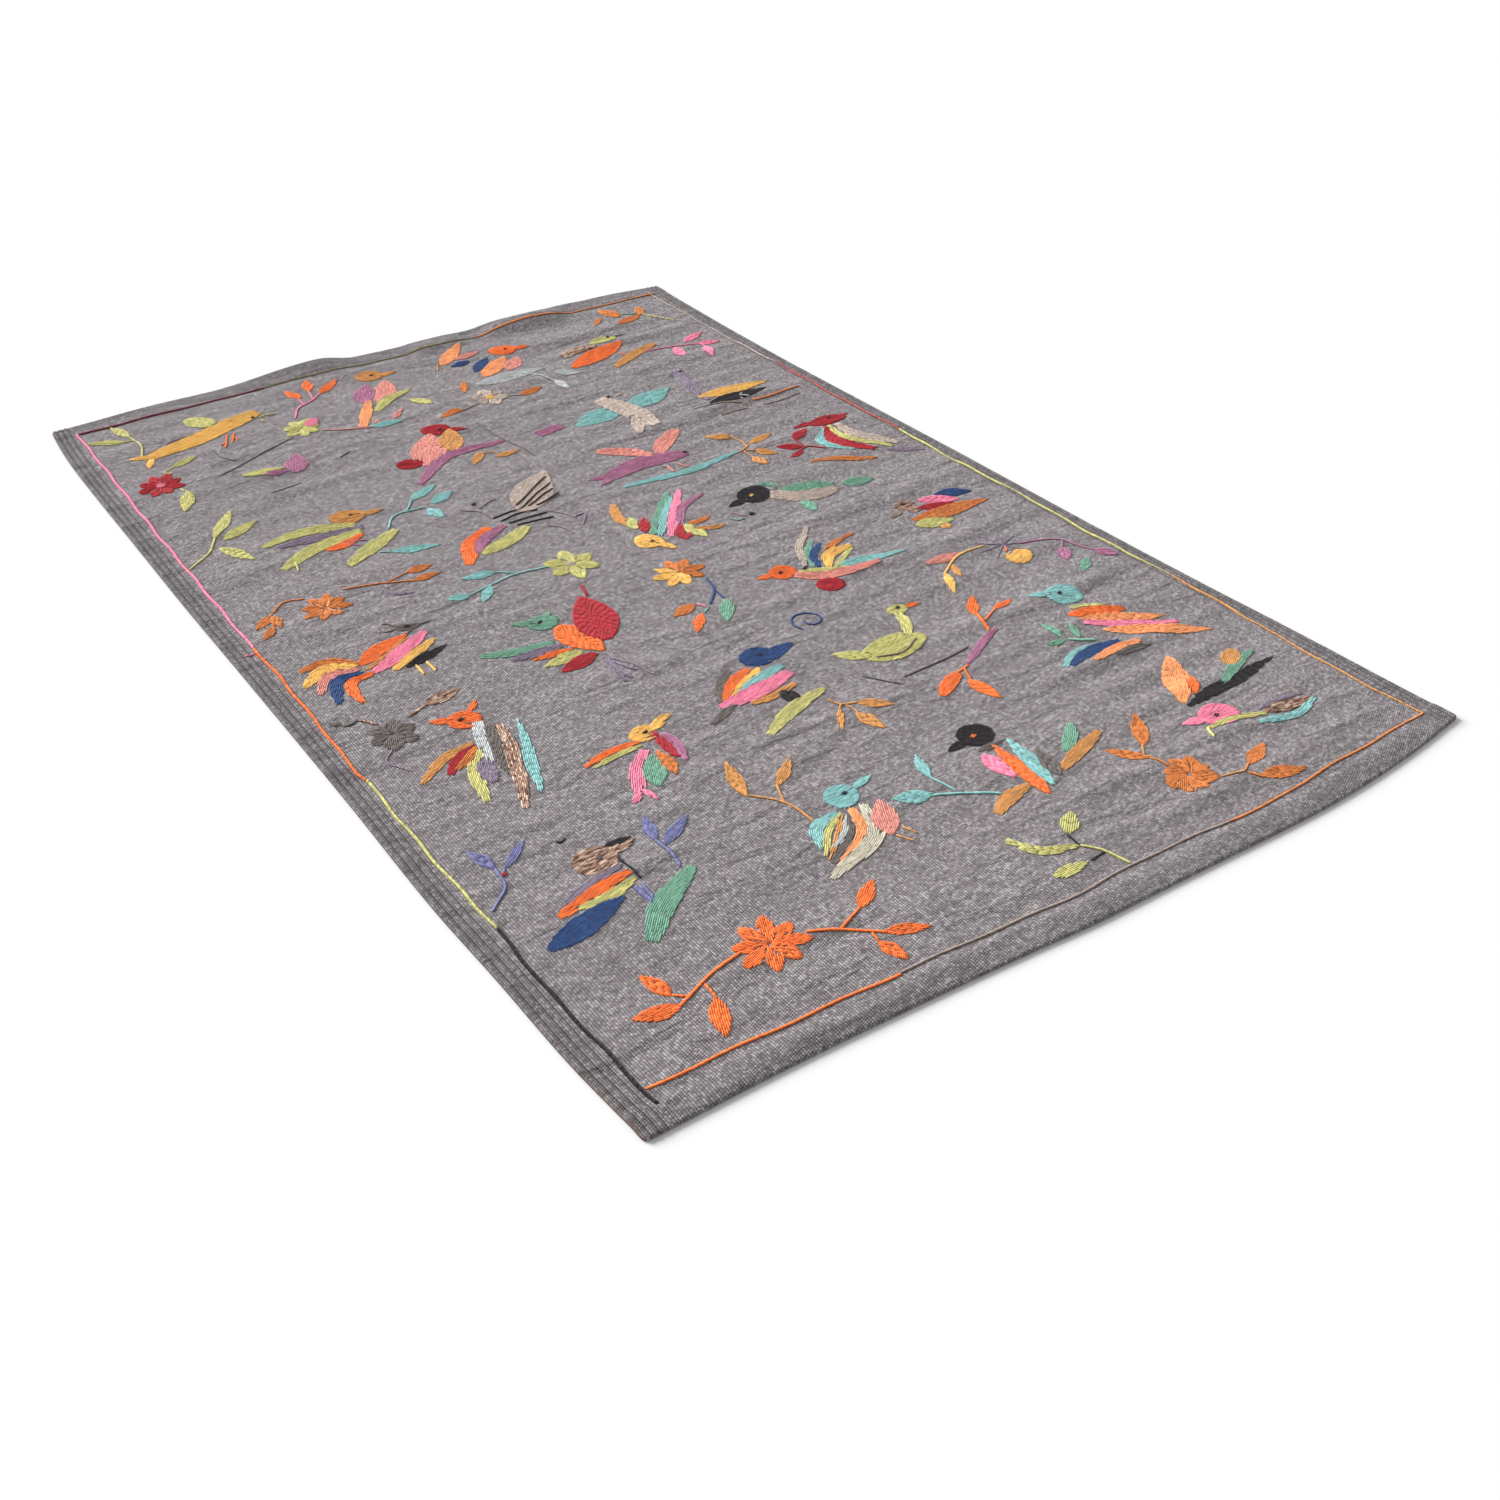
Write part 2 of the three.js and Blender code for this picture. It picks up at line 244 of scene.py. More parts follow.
class RugClothSettings(bpy.types.PropertyGroup):
    """The ground cloth: its yarn colours and the size of its weave"""

    marl_middle: colour_property("Marl", "Colour that most of the ground's yarn has", (142, 135, 137))
    marl_dark: colour_property("Dark fleck", "Colour of the ground yarn's dark flecks", (112, 106, 110))
    marl_light: colour_property("Light fleck", "Colour of the ground yarn's light flecks", (182, 176, 178))
    rib_count: bpy.props.IntProperty(
        name="Ribs", description="Ribs across the rug between its cords", min=10, default=335)
    pick_count: bpy.props.IntProperty(
        name="Picks", description="Beads along one rib, from end to end", min=10, default=655)
    weave_relief: length_property("Weave relief", "Height of a bead of the weave", 0.0010)
    ripple_relief: length_property("Ripple relief", "Height of the small ripples across the cloth", 0.0165)


class RugStitchSettings(bpy.types.PropertyGroup):
    """The embroidery's yarn and the size of its stitches"""

    yarn_width: length_property("Yarn width", "Width of the yarn as it lies in satin stitch", 0.0032)
    yarn_height: length_property("Yarn height", "How far a stitch stands up from the cloth", 0.0021)
    row_spacing: length_property("Row spacing", "Distance from one row of stitches to the next", 0.0030)
    stitch_length: length_property("Stitch length", "Length of one satin stitch", 0.0150)
    wobble: length_property("Hand wobble", "How far the hand's lines stray from true ones", 0.0014)


class RugYarnSettings(bpy.types.PropertyGroup):
    """The colour of each embroidery yarn"""

    __annotations__ = {
        yarn: colour_property(yarn.replace("_", " ").capitalize(), "Colour of this yarn", colour)
        for yarn, colour in YARNS.items()
    }


class RugStageSettings(bpy.types.PropertyGroup):
    """The floor, the light and the camera"""

    floor: colour_property("Floor", "Colour of the plain floor", (250, 250, 250))
    sky_strength: bpy.props.FloatProperty(
        name="Sky", description="Strength of the even light from all round", min=0.0, default=0.42)
    lamp_strength: bpy.props.FloatProperty(
        name="Lamp", description="Strength of the soft light from the back left", min=0.0, default=4.3)
    lamp_spread: bpy.props.FloatProperty(
        name="Lamp spread", description="How wide the soft light seems from the rug", subtype="ANGLE",
        min=0.0, default=math.radians(36))
    camera_lens: bpy.props.FloatProperty(
        name="Lens", description="Focal length of the camera", subtype="DISTANCE_CAMERA", min=1.0,
        default=40.32)


# Shader maths


class Wire:
    """One output of a node. Arithmetic on it adds Math nodes, and `make` adds any other node."""

    def __init__(self, tree, socket=None):
        self.tree = tree
        self.socket = socket

    def make(self, kind, settings=None, inputs=None, output=0):
        """A new node with its settings, then the values or wires of its sockets, as the wire of an output."""
        node = self.tree.nodes.new(kind)
        for key, value in (settings or {}).items():
            setattr(node, key, value)
        for key, value in (inputs or {}).items():
            socket = node.inputs[key]
            if isinstance(value, Wire):
                self.tree.links.new(value.socket, socket)
            else:
                socket.default_value = value
        return Wire(self.tree, node.outputs[output])

    def maths(self, operation, *values):
        """A Math node on this wire and up to two more values."""
        return self.make("ShaderNodeMath", {"operation": operation}, dict(enumerate((self, *values))))

    def flipped(self, operation, value):
        """A Math node with the plain number first."""
        return self.make("ShaderNodeMath", {"operation": operation}, {0: value, 1: self})

    def __add__(self, other):
        return self.maths("ADD", other)

    def __sub__(self, other):
        return self.maths("SUBTRACT", other)

    def __rsub__(self, other):
        return self.flipped("SUBTRACT", other)

    def __mul__(self, other):
        return self.maths("MULTIPLY", other)

    def __truediv__(self, other):
        return self.maths("DIVIDE", other)

    def __rtruediv__(self, other):
        return self.flipped("DIVIDE", other)

    def __pow__(self, other):
        return self.maths("POWER", other)

    def __mod__(self, other):
        return self.maths("FLOORED_MODULO", other)

    __radd__ = __add__
    __rmul__ = __mul__

    def floor(self):
        return self.maths("FLOOR")

    def fraction(self):
        return self.maths("FRACT")

    def sine(self):
        return self.maths("SINE")

    def rise(self, low, high):
        """0 below low, 1 above high, and a smooth step between."""
        return self.make(
            "ShaderNodeMapRange", {"interpolation_type": "SMOOTHSTEP"},
            {"Value": self, "From Min": low, "From Max": high},
        )

    def blend(self, share, other):
        """This colour turned into another by a share."""
        return self.make(
            "ShaderNodeMix", {"data_type": "RGBA"}, {0: share, 6: self, 7: other}, output=2)

    def darkened(self, share):
        """This colour times a number, through a share of its value."""
        return self.make("ShaderNodeHueSaturation", None, {"Color": self, "Value": share})

    def parts(self):
        """The first two numbers of this vector."""
        node = self.make("ShaderNodeSeparateXYZ", None, {0: self}).socket.node
        return Wire(self.tree, node.outputs[0]), Wire(self.tree, node.outputs[1])

    def stretched(self, scale, location=(0.0, 0.0, 0.0)):
        """This place times a scale, then moved."""
        return self.make("ShaderNodeMapping", None, {"Vector": self, "Scale": scale, "Location": location})

    def noise(self, scale, detail, distortion=0.0):
        """Smooth noise about a half at this place, with so many waves to the metre."""
        return self.make("ShaderNodeTexNoise", None, {
            "Vector": self, "Scale": scale, "Detail": detail, "Distortion": distortion})

    def stored(self, name):
        """The number that the mesh holds at each point under a name."""
        return self.make("ShaderNodeAttribute", {"attribute_name": name}, None, output="Fac")


def colour_wire(start, colour):
    """A plain colour as a wire."""
    node = start.tree.nodes.new("ShaderNodeRGB")
    node.outputs[0].default_value = (*colour, 1.0)
    return Wire(start.tree, node.outputs[0])


def new_material(name):
    """A material with an empty tree, its Principled shader and a first wire to make nodes with."""
    material = bpy.data.materials.new(name)
    material.use_nodes = True
    tree = material.node_tree
    shader = tree.nodes["Principled BSDF"]
    return material, shader, Wire(tree)


def finish_shader(shader, colour, roughness, normal, specular, sheen, sheen_roughness):
    """Links a colour, a roughness and a bump to the shader, and sets its shine and its soft fuzz."""
    for socket, wire in (("Base Color", colour), ("Roughness", roughness), ("Normal", normal)):
        wire.tree.links.new(wire.socket, shader.inputs[socket])
    shader.inputs["Specular IOR Level"].default_value = specular
    shader.inputs["Sheen Weight"].default_value = sheen
    shader.inputs["Sheen Roughness"].default_value = sheen_roughness


# Millimetres of yarn to a turn of its plies and to a change of its dye, and a ply's relief in metres
PLY_LENGTH = 3.4
DYE_LENGTH = 30.0
PLY_RELIEF = 0.0004


def cloth_material(settings):
    """Grey marl in weft-faced weave: beads in ribs along the rug, set half a bead apart in turn.

    With u counting ribs and v counting picks, each way's profile is 1 − (2·fraction − 1)², and a bead's
    height is the one across to the power of 0.6, times 0.62 of the one along plus 0.38. Each bead takes
    a dark, middle or light share of the yarn's marl.
    """
    material, shader, start = new_material("ground_cloth_marl_weave")
    u, v = start.make("ShaderNodeUVMap", {"uv_map": "weave"}).parts()
    place = start.make("ShaderNodeTexCoord", None, None, output="Object")
    east, north = place.parts()
    stray = place.noise(160.0, 2.0)

    # How many ribs out from the plain weave a place is, and how far from a cord's middle, 1 at its edges
    half_ribs = settings.rib_count / 2
    beside = (u - half_ribs - CORD_COUNT * RIBS_ON_CORD).maths("ABSOLUTE") - half_ribs
    from_middle = ((beside / RIBS_ON_CORD).fraction() - 0.5).maths("ABSOLUTE") * 2

    # Each bead's own form
    u = u + (stray - 0.5) * 0.1
    rib = u.floor()
    picks = v + (rib % 2.0) * 0.5 + (stray - 0.5) * 0.12
    round_across = 1 - (u.fraction() * 2 - 1) ** 2
    round_along = 1 - (picks.fraction() * 2 - 1) ** 2
    bead_height = (round_across ** 0.6) * (round_along * 0.62 + 0.38)

    def white(u_size, v_size, seed):
        """A random number for each cell of u_size ribs by v_size picks."""
        cell = start.make(
            "ShaderNodeCombineXYZ", None,
            {0: ((rib + seed) / u_size).floor(), 1: (picks / v_size + seed * 0.37).floor(), 2: seed})
        return start.make("ShaderNodeTexWhiteNoise", {"noise_dimensions": "3D"}, {"Vector": cell})

    # The marl, with painted shade in the grooves between the beads and along the grooves between the cords,
    # and darker on the rim
    fleck = white(1.0, 1.0, 3.0)
    marl = fleck * 0.66 + white(2.0, 1.0, 7.0) * 0.34
    colour = colour_wire(start, settings.marl_middle)
    colour = colour.blend(marl.rise(0.5, 0.95), colour_wire(start, settings.marl_light))
    colour = colour.blend(1 - marl.rise(0.05, 0.5), colour_wire(start, settings.marl_dark))
    patches = place.noise(5.0, 3.0)
    # 1 on a bead's top and 0 in the grooves between beads: the colour takes painted shade where it is low
    groove = bead_height.rise(0.1, 0.75)
    rim = start.stored("rim")
    # Painted shade along the grooves between the cords, where one cord meets the next
    cord_groove_shade = from_middle.rise(0.5, 1.0) * beside.rise(-0.6, -0.1)
    # Painted shade in the grooves between beads, the marl's own random patches, and darker on the rim
    value = (groove * 0.85 + 0.38) * (patches * 0.14 + 0.93) * (1 - rim * 0.28)
    # The colour takes the painted shade of the bead grooves and of the cords' grooves
    colour = colour.darkened(value * (1 - cord_groove_shade * (fleck * 0.4 + 0.3)))

    # The outermost rib is browner towards the left side's front end
    brown = beside.rise(7.4, 8.4) * (1 - east.rise(-0.7, -0.5)) * (1 - north.rise(-1.15, -0.8))
    colour = colour.blend(brown * 0.45, colour_wire(start, from_screen(*EDGE_BROWN)))

    # Small ripples across the rug that die away in calmer places, the crease, and the beads with their fuzz
    fuzz = place.noise(900.0, 2.0)
    ripples = place.stretched((7.0, 22.0, 1.0)).noise(1.0, 3.0, 0.4)
    calm = place.stretched((1.6, 4.5, 1.0), (3.0, 1.0, 0.0)).noise(1.0, 1.0)
    crease = east.maths("ABSOLUTE").rise(0.0, 0.024)
    rippled = start.make(
        "ShaderNodeBump", None,
        {"Strength": 1.0, "Distance": settings.ripple_relief,
         "Height": ripples * calm.rise(0.25, 0.6) + crease * 0.16})
    bump = start.make(
        "ShaderNodeBump", None,
        {"Strength": 1.0, "Distance": settings.weave_relief, "Height": bead_height + fuzz * 0.2,
         "Normal": rippled})
    finish_shader(shader, colour, 0.98 - groove * 0.08, bump, specular=0.12, sheen=0.12, sheen_roughness=0.6)
    return material


def yarn_material(yarn, colour):
    """Soft two-ply wool: each stitch a little lighter or darker, with painted shade on its flanks and between
    its plies, and the ply's twist as a bump.

    The map "yarn" runs along a stitch in u, in millimetres, and once round it in v, so a sine of
    u and v together winds round the yarn as its plies do.
    """
    material, shader, start = new_material(f"yarn_{yarn}")
    along, around = start.make("ShaderNodeUVMap", {"uv_map": "yarn"}).parts()
    # The stored painted light: lighter on a stitch's top, with painted shade on its flanks and its sunk tips
    shade, painted_light = start.stored("shade"), start.stored("painted_light")
    place = start.make("ShaderNodeTexCoord", None, None, output="Object")
    # The plies' twist, used as a bump and as painted shade between the plies
    twist = ((along / PLY_LENGTH + around * 2) * (2 * math.pi)).sine() * 0.5 + 0.5
    fibre = place.noise(700.0, 3.0)
    base = colour_wire(start, colour)
    if yarn == "variegated":
        dye = shade.make(
            "ShaderNodeTexNoise", {"noise_dimensions": "1D"},
            {"W": along / DYE_LENGTH + shade * 60.0, "Scale": 1.0, "Detail": 1.0})
        base = base.blend(dye.rise(0.52, 0.6), colour_wire(start, from_screen(*DYE_LIGHT)))
        base = base.blend(1 - dye.rise(0.36, 0.44), colour_wire(start, from_screen(*DYE_DARK)))
    # Random tone for each stitch and fibre, with painted shade on each stitch's flanks and tips and between
    # its twisted plies
    value = (shade * 0.46 + 0.92) * (painted_light * 1.05 + 0.26) * (twist * 0.2 + 0.9) * (fibre * 0.24 + 0.88)
    bump = start.make(
        "ShaderNodeBump", None,
        {"Strength": 0.8, "Distance": PLY_RELIEF, "Height": twist + fibre * 0.5})
    finish_shader(shader, base.darkened(value), 0.94 - twist * 0.12, bump,
                  specular=0.2, sheen=0.15, sheen_roughness=0.5)
    return material


# Meshes

# The share of the baking map that stays free at its edges
BAKE_MARGIN = 0.01

# Where the cloth's rim starts to lighten, in from its edge, and how far that takes
RIM_WIDTH = 16.0
RIM_FADE = 34.0


def add_piece(name, mesh, materials):
    """An object at the origin that rides on the rug's one body."""
    for material in materials:
        mesh.materials.append(material)
    piece = bpy.data.objects.new(name, mesh)
    bpy.context.scene.collection.objects.link(piece)
    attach(piece, "root")
    return piece


def add_map(mesh, name, values):
    """A UV map with one value for each face corner."""
    layer = mesh.uv_layers.new(name=name)
    layer.uv.foreach_set("vector", np.ascontiguousarray(values, np.float32).ravel())


def add_values(mesh, name, values):
    """A number for each of the mesh's points, under a name."""
    mesh.attributes.new(name, "FLOAT", "POINT").data.foreach_set("value", values.astype(np.float32))


def mesh_of(name, points, corners, sizes):
    """A smooth mesh from points, the flat list of its faces' corners, and the faces' sizes."""
    mesh = bpy.data.meshes.new(name)
    mesh.vertices.add(len(points))
    mesh.vertices.foreach_set("co", np.ascontiguousarray(points, np.float32).ravel())
    mesh.loops.add(len(corners))
    mesh.loops.foreach_set("vertex_index", np.asarray(corners, np.int32))
    mesh.polygons.add(len(sizes))
    starts = np.concatenate([[0], np.cumsum(sizes)[:-1]])
    mesh.polygons.foreach_set("loop_start", starts.astype(np.int32))
    mesh.update(calc_edges=True)
    mesh.polygons.foreach_set("use_smooth", np.ones(len(sizes), bool))
    return mesh


def cloth_grid():
    """Where the grid's columns and rows cross: x, y and the distances in from side, end and back end.

    A column keeps its distance from its side, the middle ones share out what is left, and a row does the
    same between the ends. Near a corner both are pulled in by 0.293 × radius × the squares of the shares.
    """
    nominal = row_places(np.zeros(1))[0][0]
    left, right = curve_through(SIDES, 1, nominal), curve_through(SIDES, 2, nominal)
    steps = np.array(SIDE_STEPS)[:, None]
    share = (np.arange(1, MIDDLE_COLUMN_COUNT) / MIDDLE_COLUMN_COUNT)[:, None]
    inner_left, inner_right = left + SIDE_STEPS[-1], right - SIDE_STEPS[-1]
    straight_x = np.vstack([
        left + steps, inner_left + (inner_right - inner_left) * share, (right - steps)[::-1]])
    in_side = np.minimum(straight_x - left, right - straight_x)
    straight_y, in_front, in_back = row_places(straight_x)
    in_end = np.minimum(in_front, in_back)
    side_share = np.maximum(1 - in_side / CORNER_RADIUS, 0) ** 2
    end_share = np.maximum(1 - in_end / CORNER_RADIUS, 0) ** 2
    pull = (1 - math.sqrt(0.5)) * CORNER_RADIUS * side_share * end_share
    x = straight_x - np.sign(straight_x) * pull
    y = straight_y - np.sign(straight_y) * pull
    across = rib_place(straight_x - left, right - straight_x)
    return x, y, in_side, in_end, in_back, across, in_front / (in_front + in_back)


def row_places(x):
    """y of each row at each x, and how far that is in from the front and from the back end."""
    front, back = curve_through(ENDS, 1, x), curve_through(ENDS, 2, x)
    if x.ndim == 1:
        front, back = front[:, None], back[:, None]
    steps = np.array(HEM_STEPS)
    share = np.arange(1, MIDDLE_ROW_COUNT) / MIDDLE_ROW_COUNT
    count = len(steps) * 2 + len(share)
    index = np.arange(count)
    near = np.concatenate([steps, share, steps[::-1]])
    low, high = front + steps[-1], back - steps[-1]
    y = np.where(
        index < len(steps), front + near,
        np.where(index >= count - len(steps), back - near, low + (high - low) * near))
    return y, y - front, back - y


def rib_place(from_left, from_right):
    """The rib at a place across the rug: three on each cord, and the others share what lies between."""
    ribs = bpy.context.scene.rug_cloth.rib_count
    edge = CORD_COUNT * RIBS_ON_CORD
    middle = edge + (from_left - CORD_BAND) / (from_left + from_right - 2 * CORD_BAND) * ribs
    right = 2 * edge + ribs - from_right / CORD_PITCH * RIBS_ON_CORD
    return np.where(from_left < CORD_BAND, from_left / CORD_PITCH * RIBS_ON_CORD,
                    np.where(from_right < CORD_BAND, right, middle))


def make_ground_cloth(settings):
    """The cloth as a closed sheet: an upper and a lower face on one grid that share their rim.

    Upper height = middle + half thickness × edge share, and lower = middle − the same, where the edge
    share is √(1 − (1 − distance/rounding)²).
    """
    x, y, in_side, in_end, in_back, across, along = cloth_grid()
    half = thickness(in_side, in_end) / 2
    middle = underside(x, y, in_back) + half
    edge = np.clip(np.minimum(in_side, in_end) / EDGE_ROUNDING, 0, 1)
    opening = half * np.sqrt(1 - (1 - edge) ** 2)
    top = to_frame(x, y, middle + opening + unevenness(x, y) * edge)
    bottom = to_frame(x, y, middle - opening)
    columns, rows = x.shape
    index = np.arange(columns * rows).reshape(columns, rows)
    inner = np.zeros((columns, rows), bool)
    inner[1:-1, 1:-1] = True
    lower = index.copy()
    lower[inner] = columns * rows + np.arange(inner.sum())
    points = np.vstack([top.reshape(-1, 3), bottom[inner]])

    def cells(grid):
        return np.stack([grid[:-1, :-1], grid[1:, :-1], grid[1:, 1:], grid[:-1, 1:]], -1).reshape(-1, 4)

    upper_faces, lower_faces = cells(index), cells(lower)[:, ::-1]
    faces = np.vstack([upper_faces, lower_faces])
    mesh = mesh_of("rug_cloth", points, faces.ravel(), np.full(len(faces), 4))
    weave = np.stack([across, along * settings.pick_count], -1).reshape(-1, 2)
    cell_of = cells(index)
    add_map(mesh, "weave", np.vstack([weave[cell_of.ravel()], weave[cell_of[:, ::-1].ravel()]]))
    flat = top.reshape(-1, 3)[:, :2]
    low, high = flat.min(0), flat.max(0)
    fitted = (flat - low) / (high - low) * (0.5 - 2 * BAKE_MARGIN, 1 - 2 * BAKE_MARGIN)
    upper_map = fitted + (BAKE_MARGIN, BAKE_MARGIN)
    lower_map = fitted + (0.5 + BAKE_MARGIN, BAKE_MARGIN)
    add_map(mesh, "OFBake", np.vstack([upper_map[cell_of.ravel()], lower_map[cell_of[:, ::-1].ravel()]]))
    rim = 1 - smooth_step((np.minimum(in_side, in_end) - RIM_WIDTH) / RIM_FADE)
    add_values(mesh, "rim", np.concatenate([rim.ravel(), rim[inner]]))
    return mesh


# Rows of stitches

# How far a knot and a raised line stand on what lies under them, and how far a tip sinks into the cloth
KNOT_LIFT = 1.3
RAISED_LIFT = 1.5
TIP_SINK = 0.3

# Satin stitch: how far its cuts move in turn and at random, as shares of a stitch, and the most that a
# stitch runs on past its cut at each end
CUT_STAGGER = 0.25
CUT_JITTER = 0.14
OVERLAP = 2.8

# Stem stitch: from one stitch's start to the next, and the least and the most length of one
STEM_STEP = 4.0
STEM_LENGTHS = (8.5, 10.5)


def smooth_path(points, step=1.5):
    """A cubic curve through points, read at even steps: places, sideways directions and distances."""
    points = np.array(points, float)
    knots = np.concatenate([[0], np.cumsum(np.hypot(*np.diff(points, axis=0).T))])
    fine = np.linspace(0, knots[-1], max(int(knots[-1] / step), 8) + 1)
    line = np.stack([curve_through(np.column_stack([knots, points]), k, fine) for k in (1, 2)], -1)
    tangent = np.gradient(line, axis=0)
    tangent /= np.maximum(np.linalg.norm(tangent, axis=1, keepdims=True), 1e-9)
    sideways = np.stack([-tangent[:, 1], tangent[:, 0]], -1)
    along = np.concatenate([[0], np.cumsum(np.linalg.norm(np.diff(line, axis=0), axis=1))])
    return line, sideways, along


def cut_rows(begin, end, length, random):
    """Cuts each run of a row into stitches of about one length, with the cuts set as bricks are.

    Inner cuts fall at (i ± stagger + jitter) / n of the run, so they don't line up from row to row.
    """
    runs = np.maximum(np.round((end - begin) / length), 1).astype(int)
    row = np.repeat(np.arange(len(begin)), runs)
    number = np.arange(len(row)) - np.repeat(np.cumsum(runs) - runs, runs)
    stagger = np.where(np.arange(len(begin)) % 2, CUT_STAGGER, -CUT_STAGGER)[row]
    jitter = random.uniform(-CUT_JITTER, CUT_JITTER, len(row) + 1)
    first = np.where(number == 0, 0.0, number + stagger + jitter[:-1])
    last = np.where(number == runs[row] - 1, runs[row], number + 1 + stagger + jitter[1:])
    span = (end - begin)[row]
    low = begin[row] + span * first / runs[row] - random.uniform(0.0, OVERLAP, len(row))
    high = begin[row] + span * last / runs[row] + random.uniform(0.0, OVERLAP, len(row))
    return row, low, high


def stitches_of(place, row, low, high, yarn, lift):
    """The stitches of cut rows, with `place` turning a distance along a row into a point.

    A stitch has both ends and the middle on the rug, its yarn, its width and height shares and its lift.
    """
    return {
        "start": place(row, low), "middle": place(row, (low + high) / 2), "end": place(row, high),
        "yarn": [yarn] * len(row), "width": np.ones(len(row)), "height": np.ones(len(row)),
        "lift": np.full(len(row), lift),
    }


def band(yarn, points, widths):
    """Rows of satin stitch side by side along a curve, as wide as the widths spread along it say."""
    return ("band", yarn, points, np.array(widths, float), 0.0)


LEAF_WIDTHS = np.array([0.22, 0.66, 0.92, 1.0, 0.92, 0.74, 0.46, 0.12])
PETAL_WIDTHS = np.array([0.4, 0.62, 0.86, 1.0, 0.96, 0.74, 0.3])
FEATHER_WIDTHS = np.array([0.5, 0.8, 0.96, 1.0, 0.94, 0.76, 0.4])


def in_pairs(places):
    """Places given as x, y, x, y and so on, as pairs."""
    return list(zip(places[::2], places[1::2]))


def each(form, yarn, *rows):
    """One form several times over in the same yarn, with a row of numbers for each."""
    return [form(yarn, *row) for row in rows]


def leaf(yarn, width, x1, y1, x2, y2):
    """A pointed oval from its base to its tip."""
    middle = ((x1 + x2) / 2, (y1 + y2) / 2)
    return band(yarn, [(x1, y1), middle, (x2, y2)], LEAF_WIDTHS * width)


def feather(yarn, width, *places):
    """A long rounded plume along a curve, from where it joins the body to its tip."""
    return band(yarn, in_pairs(places), FEATHER_WIDTHS * width)


def bar(yarn, width, x1, y1, x2, y2):
    """A strip of one width from one place to another."""
    return band(yarn, [(x1, y1), (x2, y2)], [width, width])


def oval(yarn, x, y, long, short, turn=0.0, lift=0.0):
    """A filled ellipse of two half sizes, turned by degrees."""
    angles = np.linspace(0, 2 * np.pi, 20, endpoint=False)
    a, b = long * np.cos(angles), short * np.sin(angles)
    c, s = math.cos(math.radians(turn)), math.sin(math.radians(turn))
    corners = np.stack([x + a * c - b * s, y + a * s + b * c], -1)
    return ("patch", yarn, corners, turn, lift)


def eye(yarn, x, y, radius=4.5):
    """A knot of a few short stitches that stands on the others."""
    return oval(yarn, x, y, radius, radius * 0.8, 20, lift=KNOT_LIFT)


def head(yarn, x, y, radius, facing, eye_yarn="black"):
    """A bird's head: an oval, a short pointed beak the way it faces and an eye forward of its middle."""
    c, s = math.cos(math.radians(facing)), math.sin(math.radians(facing))
    return [
        oval(yarn, x, y, radius, radius * 0.88, facing),
        leaf(yarn, radius * 0.6, x + c * radius * 0.7, y + s * radius * 0.7,
             x + c * radius * 2, y + s * radius * 2),
        eye(eye_yarn, x + c * radius * 0.2, y + s * radius * 0.2),
    ]


def spiral(yarn, x, y, radius, turns, width):
    """A line of stem stitch that winds evenly outwards from a centre."""
    angles = np.linspace(0.25, 1, 18) * turns * 2 * np.pi
    reach = radius * angles / angles[-1]
    return stem(yarn, width, *np.stack([x + reach * np.cos(angles), y + reach * np.sin(angles)], -1).ravel())


def raised(yarn, width, *places):
    """A line of stem stitch worked over a fill."""
    return ("stem", yarn, in_pairs(places), width, RAISED_LIFT)


def stem(yarn, width, *places):
    """Stem stitch: slanted stitches that overlap by half along a curve, as in a rope."""
    return ("stem", yarn, in_pairs(places), width, 0.0)


def flower(yarn, x, y, radius, petals, turn=0.0, width=0.6):
    """Petals round a centre, each a plume from near it to the rim: a number of them, or their angles."""
    if isinstance(petals, int):
        petals = [turn + 360 * i / petals for i in range(petals)]
    made = []
    for i, angle in enumerate(petals):
        reach = radius * (0.94, 1.06, 1.0)[i % 3]
        c, s = math.cos(math.radians(angle)), math.sin(math.radians(angle))
        made.append(band(yarn, [(x + 3 * c, y + 3 * s), (x + reach * c, y + reach * s)],
                         PETAL_WIDTHS * (width * radius)))
    return made


def band_stitches(shape, stitch, random):
    """Rows at even distances from the curve, each kept where the curve's width reaches it."""
    _, yarn, points, widths, lift = shape
    line, sideways, along = smooth_path(points)
    wide = np.interp(along / along[-1], np.linspace(0, 1, len(widths)), widths)
    count = max(int(round(wide.max() / stitch.row_spacing)), 1)
    offsets = (np.arange(count) - (count - 1) / 2) * stitch.row_spacing
    inside = np.abs(offsets)[:, None] < np.maximum(wide / 2, stitch.row_spacing * 0.4)
    change = np.diff(np.pad(inside, ((0, 0), (1, 1))).astype(int), axis=1)
    run_row, first = np.nonzero(change == 1)
    last = np.nonzero(change == -1)[1] - 1
    row, low, high = cut_rows(along[first], along[last], stitch.stitch_length, random)
    offset = offsets[run_row]

    def place(row, distance):
        """The curve's point at a distance, moved sideways, and run straight on past its ends."""
        held = np.clip(distance, 0, along[-1])
        x, y, side_x, side_y = (
            np.interp(held, along, values) for values in (*line.T, *sideways.T))
        past, off = distance - held, offset[row]
        return np.stack([x + side_x * off + side_y * past, y + side_y * off - side_x * past], -1)

    return stitches_of(place, row, low, high, yarn, lift)


